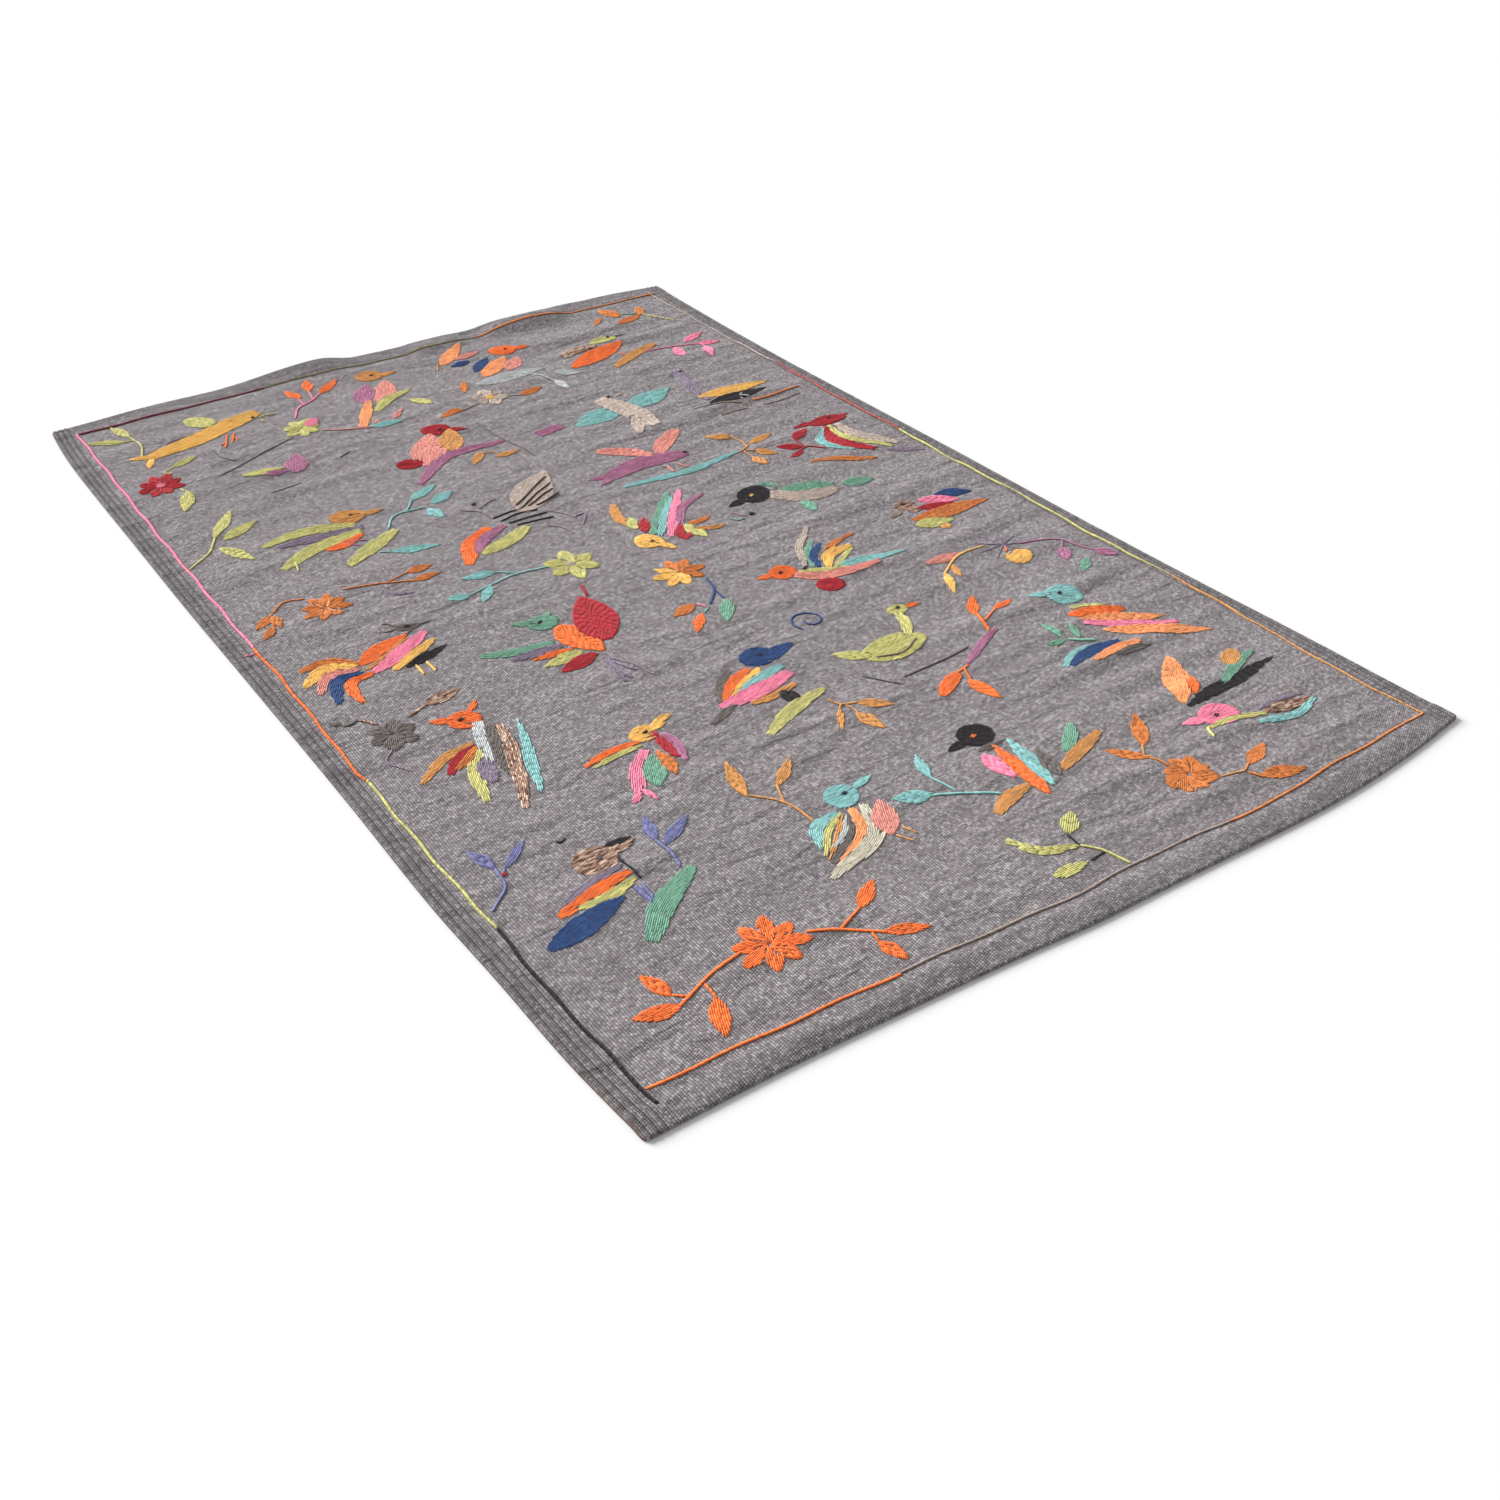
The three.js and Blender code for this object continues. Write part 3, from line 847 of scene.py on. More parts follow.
def patch_stitches(shape, stitch, random):
    """Rows across an outline: each row's crossings with the outline's edges, sorted and taken in pairs."""
    _, yarn, corners, grain, lift = shape
    c, s = math.cos(math.radians(grain)), math.sin(math.radians(grain))
    turned = np.array(corners, float) @ np.array([(c, -s), (s, c)])
    x1, y1 = turned.T
    x2, y2 = np.roll(turned, -1, axis=0).T
    low_row, high_row = y1.min(), y1.max()
    count = max(int(round((high_row - low_row) / stitch.row_spacing)), 1)
    rows = low_row + (np.arange(count)[:, None] + 0.5) * (high_row - low_row) / count
    hit = (y1 <= rows) != (y2 <= rows)
    with np.errstate(divide="ignore", invalid="ignore"):
        crossing = np.where(hit, x1 + (rows - y1) / (y2 - y1) * (x2 - x1), np.inf)
    crossing = np.sort(crossing, axis=1)
    pairs = crossing[:, : crossing.shape[1] // 2 * 2].reshape(len(rows), -1, 2)
    run_row, pair = np.nonzero(np.isfinite(pairs[:, :, 1]))
    begin, end = pairs[run_row, pair].T
    row, low, high = cut_rows(begin, end, stitch.stitch_length, random)
    height = rows[run_row, 0]

    def place(row, distance):
        """The point at a distance along a row, turned back by the grain."""
        return np.stack([distance, height[row]], -1) @ np.array([(c, s), (-s, c)])

    return stitches_of(place, row, low, high, yarn, lift)


def stem_stitches(shape, stitch, random):
    """Slanted stitches along a curve that overlap by about half.

    A stitch's width share is 0.4 + 0.18 × the line's width up to 9, its height share 0.7 + 0.11 × the
    width up to 6, and both ends stand off the curve by 0.4 × the width beyond 2.8.
    """
    _, yarn, points, width, lift = shape
    line, sideways, along = smooth_path(points)
    slant = max(width - 2.8, 0) * 0.4
    low = np.arange(0, max(along[-1] - 5, 1), STEM_STEP) + random.uniform(-0.5, 0.5)
    high = np.minimum(low + random.uniform(*STEM_LENGTHS, len(low)), along[-1] + 1)

    def place(offset, distance):
        """The curve's point at a distance, moved sideways."""
        x, y, side_x, side_y = (
            np.interp(distance, along, values) for values in (*line.T, *sideways.T))
        return np.stack([x + side_x * offset, y + side_y * offset], -1)

    return {
        "start": place(slant, low), "middle": place(0.0, (low + high) / 2), "end": place(-slant, high),
        "yarn": [yarn] * len(low), "width": np.full(len(low), 0.4 + min(width, 9.0) * 0.18),
        "height": np.full(len(low), 0.7 + min(width, 6.0) * 0.11), "lift": np.full(len(low), lift),
    }


FILLS = {"band": band_stitches, "patch": patch_stitches, "stem": stem_stitches}


def outline_of(shape):
    """The outline that a fill covers, or None for a stem or a knot."""
    if shape[0] == "patch" and shape[4] == 0:
        return np.array(shape[2], float)
    if shape[0] == "band":
        line, sideways, along = smooth_path(shape[2], 4.0)
        wide = np.interp(along / along[-1], np.linspace(0, 1, len(shape[3])), shape[3])[:, None] / 2
        return np.vstack([line + sideways * wide, (line - sideways * wide)[::-1]])
    return None


def inside_outline(points, corners):
    """Which points lie inside: a line from there to one side crosses the outline an odd number of times."""
    x, y = points.T[:, :, None]
    x1, y1 = corners.T
    x2, y2 = np.roll(corners, -1, axis=0).T
    with np.errstate(divide="ignore", invalid="ignore"):
        crossed = ((y1 <= y) != (y2 <= y)) & (x < x1 + (y - y1) / (y2 - y1) * (x2 - x1))
    return crossed.sum(axis=1) % 2 == 1


def uncovered(part, later):
    """A shape's stitches without those whose middle a later shape covers, as nobody stitches there twice."""
    keep = np.ones(len(part["middle"]), bool)
    for shape in later:
        corners = outline_of(shape)
        if corners is not None:
            keep &= ~inside_outline(part["middle"], corners)
    return {
        field: [one for one, kept in zip(values, keep) if kept] if field == "yarn" else values[keep]
        for field, values in part.items()}


def work_motif(name, shapes, materials, seed):
    """All stitches of a motif as one piece.

    A stitch is a tube through five places along it, at 0, 0.1, 0.5, 0.9 and 1 of the quadratic curve
    through its start, middle and end. It comes to a point at both ends and is a ring of five between.
    """
    settings = bpy.context.scene.rug_stitches
    stitch = Millimetres(settings)
    random = np.random.default_rng(seed)
    flat = []
    for shape in shapes:
        flat += shape if isinstance(shape, list) else [shape]
    made = [FILLS[shape[0]](shape, stitch, random) for shape in flat]
    made = [uncovered(part, flat[i + 1:]) for i, part in enumerate(made)]
    yarns = [yarn for part in made for yarn in part["yarn"]]
    start, middle, end, width, height, lift = (
        np.concatenate([part[field] for part in made])
        for field in ("start", "middle", "end", "width", "height", "lift"))
    start, middle, end = (strayed(points, stitch.wobble) for points in (start, middle, end))
    worn = sorted(set(yarns))
    mesh = stitch_mesh(name, start, middle, end, width * stitch.yarn_width,
                       height * stitch.yarn_height, lift, random)
    add_piece(name, mesh, [materials[yarn] for yarn in worn])
    number = np.array([worn.index(yarn) for yarn in yarns], np.int32)
    mesh.polygons.foreach_set("material_index", np.repeat(number, STITCH_FACES))


class Millimetres:
    """The stitch settings in the tables' millimetres."""

    def __init__(self, settings):
        for key in ("yarn_width", "yarn_height", "row_spacing", "stitch_length", "wobble"):
            setattr(self, key, getattr(settings, key) * 1000)


def strayed(points, reach):
    """Points moved by slow sine waves, so that outlines aren't truer than a hand draws them."""
    x, y = points.T
    return points + reach * np.stack([
        np.sin(y / 21.0 + 1.7 * np.sin(x / 43.0)), np.sin(x / 24.0 + 1.3 * np.sin(y / 37.0))], -1)


# A stitch's rings: their places along it, their sizes, and their painted light, which makes the upper sides
# lighter and the flanks darker as shade would, with the tips'
RING_PLACES = np.array([0.1, 0.5, 0.9])
RING_SIZES = np.array([0.86, 1.0, 0.86])
RING_PAINTED_LIGHT = np.array([0.92, 1.0, 0.92])
TIP_PAINTED_LIGHT = 0.35
RING_POINTS = 5
RING_ANGLES = np.radians(90 + 360 / RING_POINTS * np.arange(RING_POINTS))
STITCH_FACES = 4 * RING_POINTS
STITCH_POINTS = 2 + len(RING_PLACES) * RING_POINTS


def stitch_pattern():
    """One stitch's faces by point number, and each corner's place along and round it.

    Point 0 is the first tip, 1 to 15 are the rings, and 16 is the last tip.
    """
    faces, along, around = [], [], []
    places = [0, *RING_PLACES, 1]
    for k in range(RING_POINTS):
        nxt = (k + 1) % RING_POINTS
        faces.append((0, 1 + nxt, 1 + k))
        along.append((places[0], places[1], places[1]))
        around.append((k + 0.5, k + 1, k))
        for ring in (0, 1):
            a, b = 1 + ring * RING_POINTS, 1 + (ring + 1) * RING_POINTS
            faces.append((a + k, a + nxt, b + nxt, b + k))
            low, high = places[1 + ring], places[2 + ring]
            along.append((low, low, high, high))
            around.append((k, k + 1, k + 1, k))
        last = 1 + 2 * RING_POINTS
        faces.append((last + k, last + nxt, STITCH_POINTS - 1))
        along.append((places[3], places[3], places[4]))
        around.append((k, k + 1, k + 0.5))
    sizes = [len(face) for face in faces]
    return (np.concatenate(faces), np.array(sizes), np.concatenate(along),
            np.concatenate(around) / RING_POINTS)


def stitch_mesh(name, start, middle, end, width, height, lift, random):
    """The mesh of many stitches: rings of yarn whose feet follow the cloth's upper face.

    A ring's point is the stitch's place + width/2 × cos × the direction across it, and it stands at
    cloth + lift + height × (0.4 + sin / 2). The tips are sunk a little way into the cloth.
    """
    count = len(start)
    share = RING_PLACES[:, None, None]
    rings = (start * (1 - share) * (1 - 2 * share) + middle * 4 * share * (1 - share)
             + end * share * (2 * share - 1)).transpose(1, 0, 2)
    direction = end - start
    direction /= np.maximum(np.linalg.norm(direction, axis=1, keepdims=True), 1e-6)
    side = np.stack([direction[:, 1], -direction[:, 0]], -1)
    width = width * random.uniform(0.86, 1.14, count)
    height = height * random.uniform(0.84, 1.16, count)
    reach = (width / 2)[:, None, None] * RING_SIZES[:, None] * np.cos(RING_ANGLES)
    ring_points = rings[:, :, None, :] + reach[..., None] * side[:, None, None, :]
    stand = height[:, None, None] * RING_SIZES[:, None] * (0.4 + np.sin(RING_ANGLES) / 2)
    flat = np.concatenate([start[:, None], ring_points.reshape(count, -1, 2), end[:, None]], axis=1)
    tip = np.full((count, 1), -TIP_SINK)
    above = np.concatenate([tip, stand.reshape(count, -1), tip], axis=1) + lift[:, None]
    x, y = flat[..., 0], flat[..., 1]
    z = cloth_top(x, y) + above
    points = to_frame(x, y, z).reshape(-1, 3)
    corners, sizes, along, around = stitch_pattern()
    offset = (np.arange(count) * STITCH_POINTS)[:, None]
    mesh = mesh_of(name, points, (offset + corners).ravel(), np.tile(sizes, count))
    length = np.linalg.norm(end - start, axis=1)
    yarn_along = along * length[:, None] + random.uniform(0, 50, (count, 1))
    add_map(mesh, "yarn", np.stack([yarn_along, np.tile(around, (count, 1))], -1).reshape(-1, 2))
    low, high = points[:, :2].min(0), points[:, :2].max(0)
    planar = (points[:, :2] - low) / np.maximum(high - low, 1e-4) * (1 - 2 * BAKE_MARGIN) + BAKE_MARGIN
    add_map(mesh, "OFBake", planar[(offset + corners).ravel()])
    add_values(mesh, "shade", np.repeat(random.random(count), STITCH_POINTS))
    # Painted shade: each point's painted light is 1 on a ring's top, falls towards its flanks and underside,
    # and is low at the tips
    ring_painted_light = (RING_PAINTED_LIGHT[:, None] * (0.5 + np.sin(RING_ANGLES) / 2) ** 1.5).ravel()
    add_values(mesh, "painted_light", np.tile([TIP_PAINTED_LIGHT, *ring_painted_light, TIP_PAINTED_LIGHT], count))
    return mesh


# The border line

# Each side's runs of yarn: the yarn, the line's width, and the places that it passes through
BORDER = {
    "border_left": [
        stem("pink", 6.4, -712, 1145, -716, 900, -722, 600, -724, 300, -725, 107),
        stem("pink", 4, -725, 88, -747, 90),
        stem("orange", 6, -725, 107, -723, 0, -726, -200, -729, -330, -725, -355),
        stem("lime", 6, -725, -355, -727, -500, -726, -650, -722, -767),
        stem("black", 6.6, -722, -767, -724, -900, -719, -1050, -714, -1160),
    ],
    "border_front": [
        stem("orange", 5.6, -712, -1130, -600, -1135, -500, -1140, -335, -1149),
        stem("taupe_brown", 5, -335, -1147, -200, -1155, -50, -1166, 100, -1164, 255, -1174),
        stem("rust", 5, 255, -1174, 340, -1178, 450, -1170, 600, -1164, 712, -1160),
    ],
    "border_right": [
        stem("ochre", 5, 712, -1160, 706, -1000, 712, -800, 715, -615),
        stem("lime", 5, 715, -615, 709, -430, 712, -200, 707, 0, 710, 150),
        stem("brick", 5, 710, 150, 706, 350, 708, 600),
        stem("beige", 3.5, 708, 600, 704, 800, 706, 1000, 705, 1140),
    ],
    "border_back": [
        stem("dark_red", 6, -710, 1141, -500, 1145, -300, 1143),
        stem("olive", 4.5, -300, 1143, -100, 1140, 100, 1134, 220, 1134),
        stem("rust", 6, 220, 1134, 400, 1138, 560, 1136, 715, 1130),
    ],
}

# The birds and their branches

# Each part is an ordinary form given by its place on the rug, its size in millimetres and its direction.
# A leaf, feather, bar or stem has its yarn, its width and then its places, as x, y, x, y from its base on.
BIRDS = {
    "bird_long_yellow": [
        feather("yellow", 54, -360, 1030, -495, 980, -635, 940),
        each(leaf, "yellow", (18, -620, 950, -665, 960), (16, -620, 940, -640, 895)),
        oval("lime", -480, 1050, 40, 26, -60),
        each(stem, "lime", (4.5, -365, 1005, -345, 1005, -330, 1000), (4, -370, 990, -360, 975)),
        eye("black", -378, 1008),
        each(stem, "orange", (5, -455, 955, -480, 900), (4, -470, 925, -485, 915),
             (5, -440, 955, -460, 915), (4, -445, 940, -445, 920)),
        stem("purple_grey", 3, -575, 990, -540, 1000, -510, 1000),
    ],
    "bird_purple_wing": [
        head("ochre", -80, 1070, 32, -20), leaf("salmon", 58, -120, 905, -60, 1030),
        leaf("purple", 48, -155, 935, -105, 1030), feather("peach", 26, -140, 940, -170, 885, -200, 825),
        feather("lime", 28, -145, 885, -95, 925, -40, 945), leaf("lime", 22, -60, 900, -30, 845),
    ],
    "bird_red_head": [
        head("red", -85, 720, 32, -30), leaf("salmon", 78, -175, 575, -105, 710),
        leaf("ochre", 52, -100, 605, -60, 710), oval("red", -200, 600, 28, 20, -10),
        feather("purple", 28, -225, 510, -120, 590, 10, 590),
        each(leaf, "ochre", (22, -55, 570, -95, 525), (20, -40, 530, 10, 525)),
        stem("ochre", 4, -60, 560, -35, 550, -30, 535), bar("purple", 26, 80, 575, 140, 585),
        stem("taupe", 3, 0, 700, 10, 590, 25, 485),
    ],
    "bird_blue_wing": [
        head("orange", 235, 1025, 32, -20), leaf("peach", 52, 130, 915, 220, 990),
        leaf("salmon", 42, 195, 915, 245, 975), leaf("blue", 30, 125, 950, 185, 1010),
        each(leaf, "light_grey", (46, 95, 885, 265, 880), (24, 265, 840, 320, 805),
             (20, 250, 805, 255, 745)), stem("light_grey", 4, 210, 890, 230, 845, 250, 805),
        leaf("rust", 18, 55, 860, 80, 920),
    ],
    "bird_lime_head": [
        oval("lime", 455, 940, 36, 20), leaf("taupe", 10, 485, 945, 520, 945),
        leaf("orange", 60, 315, 835, 485, 905), stem("orange", 5, 445, 850, 455, 825),
        eye("black", 475, 950), feather("variegated", 36, 325, 905, 370, 920, 425, 920),
        feather("ochre", 30, 400, 790, 470, 825, 545, 855), stem("pink", 5, 505, 825, 565, 815, 630, 790),
        each(leaf, "pink", (24, 605, 820, 675, 850), (28, 565, 805, 560, 745), (24, 625, 790, 680, 780),
             (24, 630, 770, 615, 710)), stem("pink", 5, 630, 790, 630, 765),
    ],
    "dove": [
        each(leaf, "teal", (66, 285, 590, 165, 560), (60, 305, 575, 430, 615)),
        each(feather, "beige", (58, 275, 655, 300, 560, 305, 460), (26, 290, 530, 275, 490, 250, 445)),
        leaf("beige", 12, 310, 650, 335, 655), eye("black", 297, 654),
    ],
    "duck": [
        feather("purple_grey", 30, 500, 690, 475, 595, 470, 510),
        leaf("purple_grey", 16, 495, 680, 470, 670), eye("black", 502, 676),
        leaf("yellow", 42, 460, 535, 630, 520), leaf("black", 48, 460, 490, 605, 490),
        raised("light_grey", 3, 550, 500, 535, 485, 545, 465),
        each(stem, "taupe_brown", (4, 525, 475, 525, 430), (5, 415, 490, 465, 475, 515, 450)),
        stem("rust", 6, 540, 450, 600, 450, 670, 455),
        each(stem, "taupe_brown", (4, 445, 430, 480, 430, 515, 425), (4, 550, 420, 600, 420, 650, 425)),
    ],
    "bird_purple_on_branch": [
        feather("purple", 52, 85, 310, 180, 330, 285, 315),
        each(leaf, "purple", (16, 100, 320, 60, 325), (14, 100, 310, 65, 290)),
        each(feather, "salmon", (36, 220, 345, 185, 395, 135, 430), (38, 235, 345, 285, 395, 330, 425)),
        eye("black", 282, 319), each(stem, "salmon", (5, 220, 290, 220, 260), (5, 240, 290, 255, 260)),
        feather("teal", 20, 100, 260, 240, 245, 370, 255),
    ],
    "bird_red_crest": [
        oval("red", 612, 272, 46, 24),
        each(leaf, "red", (14, 640, 275, 670, 280), (18, 585, 285, 530, 285)), eye("black", 622, 280),
        feather("teal", 24, 580, 240, 540, 190, 575, 130), feather("red", 32, 590, 245, 570, 180, 610, 105),
        feather("lime", 20, 595, 245, 600, 180, 650, 95),
        feather("beige", 30, 615, 245, 625, 180, 670, 100), leaf("purple_grey", 18, 630, 90, 690, 45),
        stem("red", 5, 530, 165, 500, 195, 450, 175), leaf("red", 26, 495, 200, 450, 230),
        stem("red", 4, 500, 200, 500, 235),
        each(leaf, "red", (24, 500, 235, 550, 265), (16, 485, 185, 445, 175)),
        feather("rust", 18, 470, 135, 530, 105, 590, 70),
    ],
    "bird_upside_down": [
        head("yellow", 20, 35, 30, -60), feather("green", 22, 40, 55, 90, 115, 155, 190),
        feather("teal", 20, 50, 45, 95, 100, 150, 170), feather("pink", 22, 65, 30, 115, 100, 180, 185),
        feather("purple", 18, 100, 50, 145, 115, 215, 145), feather("ochre", 24, 25, 105, 20, 150, 45, 205),
        leaf("lime", 28, 25, 90, 40, 140), each(leaf, "red", (24, 35, 70, 60, 125), (32, 80, 5, 105, 60)),
        leaf("lime", 32, 110, 55, 120, -10), feather("rust", 16, 120, 55, 140, 50, 165, 55),
        feather("ochre", 16, 120, 30, 145, 15, 175, 10),
    ],
    "bird_black_head": [
        head("black", 290, 80, 36, -170, "yellow"), feather("green", 12, 315, 105, 335, 100, 345, 80),
        feather("beige", 58, 315, 60, 370, 25, 440, 10), feather("green", 34, 350, 65, 400, 50, 445, 25),
        leaf("green", 38, 460, 15, 525, 0), oval("green", 350, -20, 24, 14, 90),
        stem("green", 4, 195, 25, 205, 10, 220, 10), stem("taupe_brown", 4, 210, 45, 220, 25, 230, 15),
        eye("black", 240, 18, 5),
    ],
    "bird_ochre_crested": [
        head("ochre", -400, 460, 34, -10), feather("lime", 30, -400, 420, -485, 450, -580, 440),
        feather("purple_grey", 28, -390, 405, -475, 415, -555, 420),
        leaf("orange", 42, -485, 360, -400, 380), feather("lime", 34, -400, 395, -495, 380, -580, 335),
        stem("lime", 5, -550, 350, -560, 315),
        each(stem, "purple", (4, -450, 365, -425, 340), (4, -440, 370, -405, 350)),
    ],
    "bird_striped": [
        leaf("beige", 84, -115, 280, 5, 415),
        each(raised, "black", (4.5, -115, 310, -60, 350, -5, 390), (4.5, -110, 295, -70, 325, -10, 360),
             (4.5, -95, 295, -60, 315, -20, 335), (4.5, -80, 290, -55, 295, -20, 310)),
        each(stem, "black", (5, -175, 290, -140, 295, -110, 295), (5, -170, 270, -125, 280, -85, 275),
             (5, -160, 255, -115, 255, -75, 255), (5, -150, 240, -115, 235, -75, 230)),
        each(stem, "purple_grey", (3.5, -175, 290, -180, 330, -210, 360),
             (3.5, -175, 345, -145, 360, -130, 360)), eye("black", -177, 367),
        each(stem, "purple_grey", (3.5, -75, 265, -55, 230, -45, 195), (3.5, -45, 205, -20, 210, -45, 170),
             (3.5, -105, 205, -85, 180, -75, 145)), feather("orange", 36, -200, 265, -255, 220, -295, 155),
        feather("purple", 26, -170, 255, -220, 230, -260, 185),
        feather("lime", 34, -135, 225, -190, 195, -255, 175),
    ],
    "bird_banded_fan_tail": [
        feather("taupe", 22, -500, 35, -485, 20, -460, 15),
        each(stem, "taupe", (4, -515, 55, -505, 50, -500, 35), (4, -525, 30, -510, 25, -500, 30),
             (4, -465, 15, -455, 15, -440, 15), (4, -480, 10, -500, -5, -505, -10)),
        eye("black", -483, 21, 5), leaf("orange", 40, -600, -45, -495, 0),
        feather("ochre", 10, -600, -65, -550, -45, -495, -10),
        feather("pink", 32, -590, -80, -540, -60, -465, -10),
        feather("yellow", 22, -560, -95, -510, -70, -460, -40), leaf("black", 22, -540, -100, -450, -70),
        feather("rust", 24, -600, -40, -640, -5, -690, -10),
        feather("yellow", 26, -605, -45, -650, -25, -700, -60),
        feather("salmon", 20, -605, -55, -655, -50, -690, -95),
        feather("blue", 22, -605, -70, -650, -70, -675, -135),
        feather("orange", 20, -590, -80, -635, -90, -640, -155),
        each(stem, "yellow", (6, -525, -100, -525, -135), (6, -505, -100, -505, -135)),
    ],
    "bird_green_head": [
        head("green", -285, -105, 28, 150), leaf("green", 8, -270, -90, -255, -75),
        leaf("orange", 66, -270, -130, -245, -245), leaf("red", 82, -220, -215, -185, -65),
        stem("red", 6, -175, -70, -165, -30), feather("green", 24, -300, -175, -370, -160, -425, -140),
        feather("purple_grey", 24, -295, -190, -340, -185, -385, -180),
        leaf("orange", 18, -285, -210, -360, -200), leaf("lime", 30, -275, -225, -350, -230),
        leaf("red", 34, -260, -245, -335, -260),
        feather("purple_grey", 16, -255, -270, -260, -310, -265, -350),
        each(stem, "purple_grey", (4, -250, -270, -230, -305, -215, -355),
             (4, -250, -280, -240, -315, -230, -330), (4, -255, -285, -255, -325, -250, -345)),
    ],
    "bird_orange_head": [
        head("orange", -530, -295, 28, 150), leaf("orange", 12, -515, -280, -490, -250),
        feather("light_grey", 30, -515, -310, -530, -360, -545, -420),
        feather("taupe", 42, -500, -325, -515, -400, -535, -475), leaf("teal", 20, -525, -535, -460, -340),
        feather("variegated", 24, -490, -335, -520, -445, -560, -555),
        feather("ochre", 20, -550, -360, -600, -370, -660, -410),
        feather("lime", 24, -550, -380, -585, -440, -600, -505),
        feather("purple_grey", 30, -555, -410, -565, -440, -570, -470),
        feather("red", 24, -550, -370, -580, -385, -615, -415),
        feather("rust", 16, -550, -370, -575, -395, -600, -410),
    ],
    "bird_hummingbird": [
        head("yellow", -320, -490, 24, 10), feather("yellow", 16, -305, -490, -280, -475, -255, -470),
        feather("orange", 16, -335, -505, -390, -505, -440, -515),
        feather("lime", 12, -335, -515, -390, -520, -430, -525),
        feather("pink", 26, -340, -530, -380, -575, -410, -625),
        each(leaf, "pink", (12, -405, -620, -430, -640), (12, -400, -615, -390, -650)),
        leaf("green", 36, -375, -620, -340, -545), leaf("rust", 24, -335, -610, -325, -540),
        feather("red", 20, -305, -495, -305, -535, -310, -575),
        feather("purple", 16, -295, -505, -290, -545, -305, -590),
    ],
    "bird_blue_head": [
        head("blue", -45, -410, 32, 0), feather("blue", 22, -35, -430, -5, -420, 25, -410),
        feather("taupe", 18, -105, -415, -140, -445, -175, -490),
        feather("orange", 26, -80, -430, -120, -455, -165, -490),
        feather("yellow", 20, -65, -440, -105, -465, -155, -495),
        feather("teal", 28, -30, -455, -80, -470, -145, -495),
        feather("pink", 36, -30, -480, -85, -495, -180, -500),
        feather("ochre", 18, -40, -515, -85, -525, -135, -520),
        feather("taupe", 14, -160, -505, -190, -520, -220, -535), oval("black", -70, -540, 20, 14, -80),
        feather("lime", 26, -160, -610, -95, -575, -10, -550),
    ],
    "bird_flying": [
        head("orange", 155, -205, 26, 170), stem("black", 6, 210, -200, 200, -210, 190, -220),
        leaf("teal", 32, 230, -235, 385, -275), feather("lime", 16, 180, -220, 225, -240, 280, -265),
        feather("salmon", 32, 165, -225, 215, -260, 320, -275), oval("red", 200, -290, 26, 22, -30),
        feather("beige", 16, 200, -210, 230, -150, 290, -90),
        feather("green", 14, 210, -220, 235, -170, 270, -135),
        feather("blue", 16, 220, -225, 235, -185, 275, -155),
        feather("rust", 14, 230, -230, 280, -180, 350, -160),
        feather("yellow", 24, 235, -235, 260, -200, 320, -195),
        feather("lime", 12, 240, -245, 280, -220, 315, -205),
    ],
    "bird_brown_head": [
        oval("variegated", 502, -128, 22, 19), leaf("taupe_brown", 16, 485, -140, 445, -155),
        oval("variegated", 505, -150, 14, 12, -10), eye("black", 500, -124),
        leaf("blue", 34, 575, -125, 645, -155), leaf("pink", 36, 535, -125, 605, -170),
        leaf("red", 28, 515, -150, 595, -185), leaf("rust", 42, 475, -185, 650, -200),
        leaf("lime", 40, 465, -205, 540, -225), oval("ochre", 510, -240, 10, 10, 80),
    ],
    "swan": [
        oval("lime", 160, -520, 66, 36, 0), leaf("lime", 30, 110, -520, 60, -480),
        feather("lime", 22, 205, -505, 225, -465, 235, -430), oval("lime", 242, -425, 20, 15, 0),
        eye("black", 246, -422), leaf("orange", 12, 258, -425, 290, -432),
        raised("taupe", 4, 110, -530, 160, -545, 205, -525),
        each(stem, "taupe", (4, 60, -560, 100, -615), (4, 115, -600, 190, -600, 260, -590)),
    ],
    "bird_teal_head": [
        head("teal", 510, -560, 34, 150), feather("lime", 10, 485, -600, 515, -605, 545, -625),
        leaf("orange", 40, 470, -615, 565, -655), leaf("peach", 36, 475, -640, 605, -710),
        feather("pink", 24, 475, -650, 530, -690, 605, -740), leaf("peach", 36, 485, -685, 635, -790),
        stem("green", 9, 415, -670, 430, -685, 450, -700),
        each(leaf, "green", (16, 410, -660, 410, -605), (16, 410, -670, 370, -665),
             (14, 435, -680, 450, -635)), feather("teal", 16, 445, -710, 395, -710, 350, -735),
        feather("blue", 24, 480, -725, 420, -720, 360, -740),
        feather("peach", 20, 505, -750, 460, -740, 400, -750),
        feather("taupe", 12, 440, -755, 480, -760, 515, -765),
    ],
    "bird_brown_and_blue": [
        head("variegated", -540, -720, 36, 10, "taupe"), leaf("black", 16, -515, -700, -470, -700),
        stem("black", 5, -510, -730, -510, -765, -510, -790),
        feather("purple_grey", 18, -620, -775, -570, -760, -515, -750),
        feather("orange", 24, -640, -795, -575, -780, -515, -770),
        feather("lime", 20, -610, -795, -565, -800, -515, -785), leaf("blue", 44, -685, -845, -545, -810),
        each(stem, "lilac", (9, -525, -800, -520, -845), (7, -515, -800, -515, -845)),
        feather("green", 38, -565, -910, -520, -860, -435, -810),
    ],
    "bird_round_teal_head": [
        oval("teal", -165, -800, 29, 28), leaf("teal", 16, -140, -795, -95, -785), eye("black", -160, -797),
        feather("teal", 20, -195, -825, -240, -840, -265, -885),
        feather("lime", 12, -190, -830, -230, -855, -270, -900),
        feather("ochre", 8, -190, -835, -220, -865, -270, -910),
        feather("light_grey", 12, -185, -840, -210, -870, -250, -890),
        feather("taupe", 22, -180, -840, -200, -880, -270, -920),
        feather("peach", 22, -170, -830, -190, -885, -265, -930),
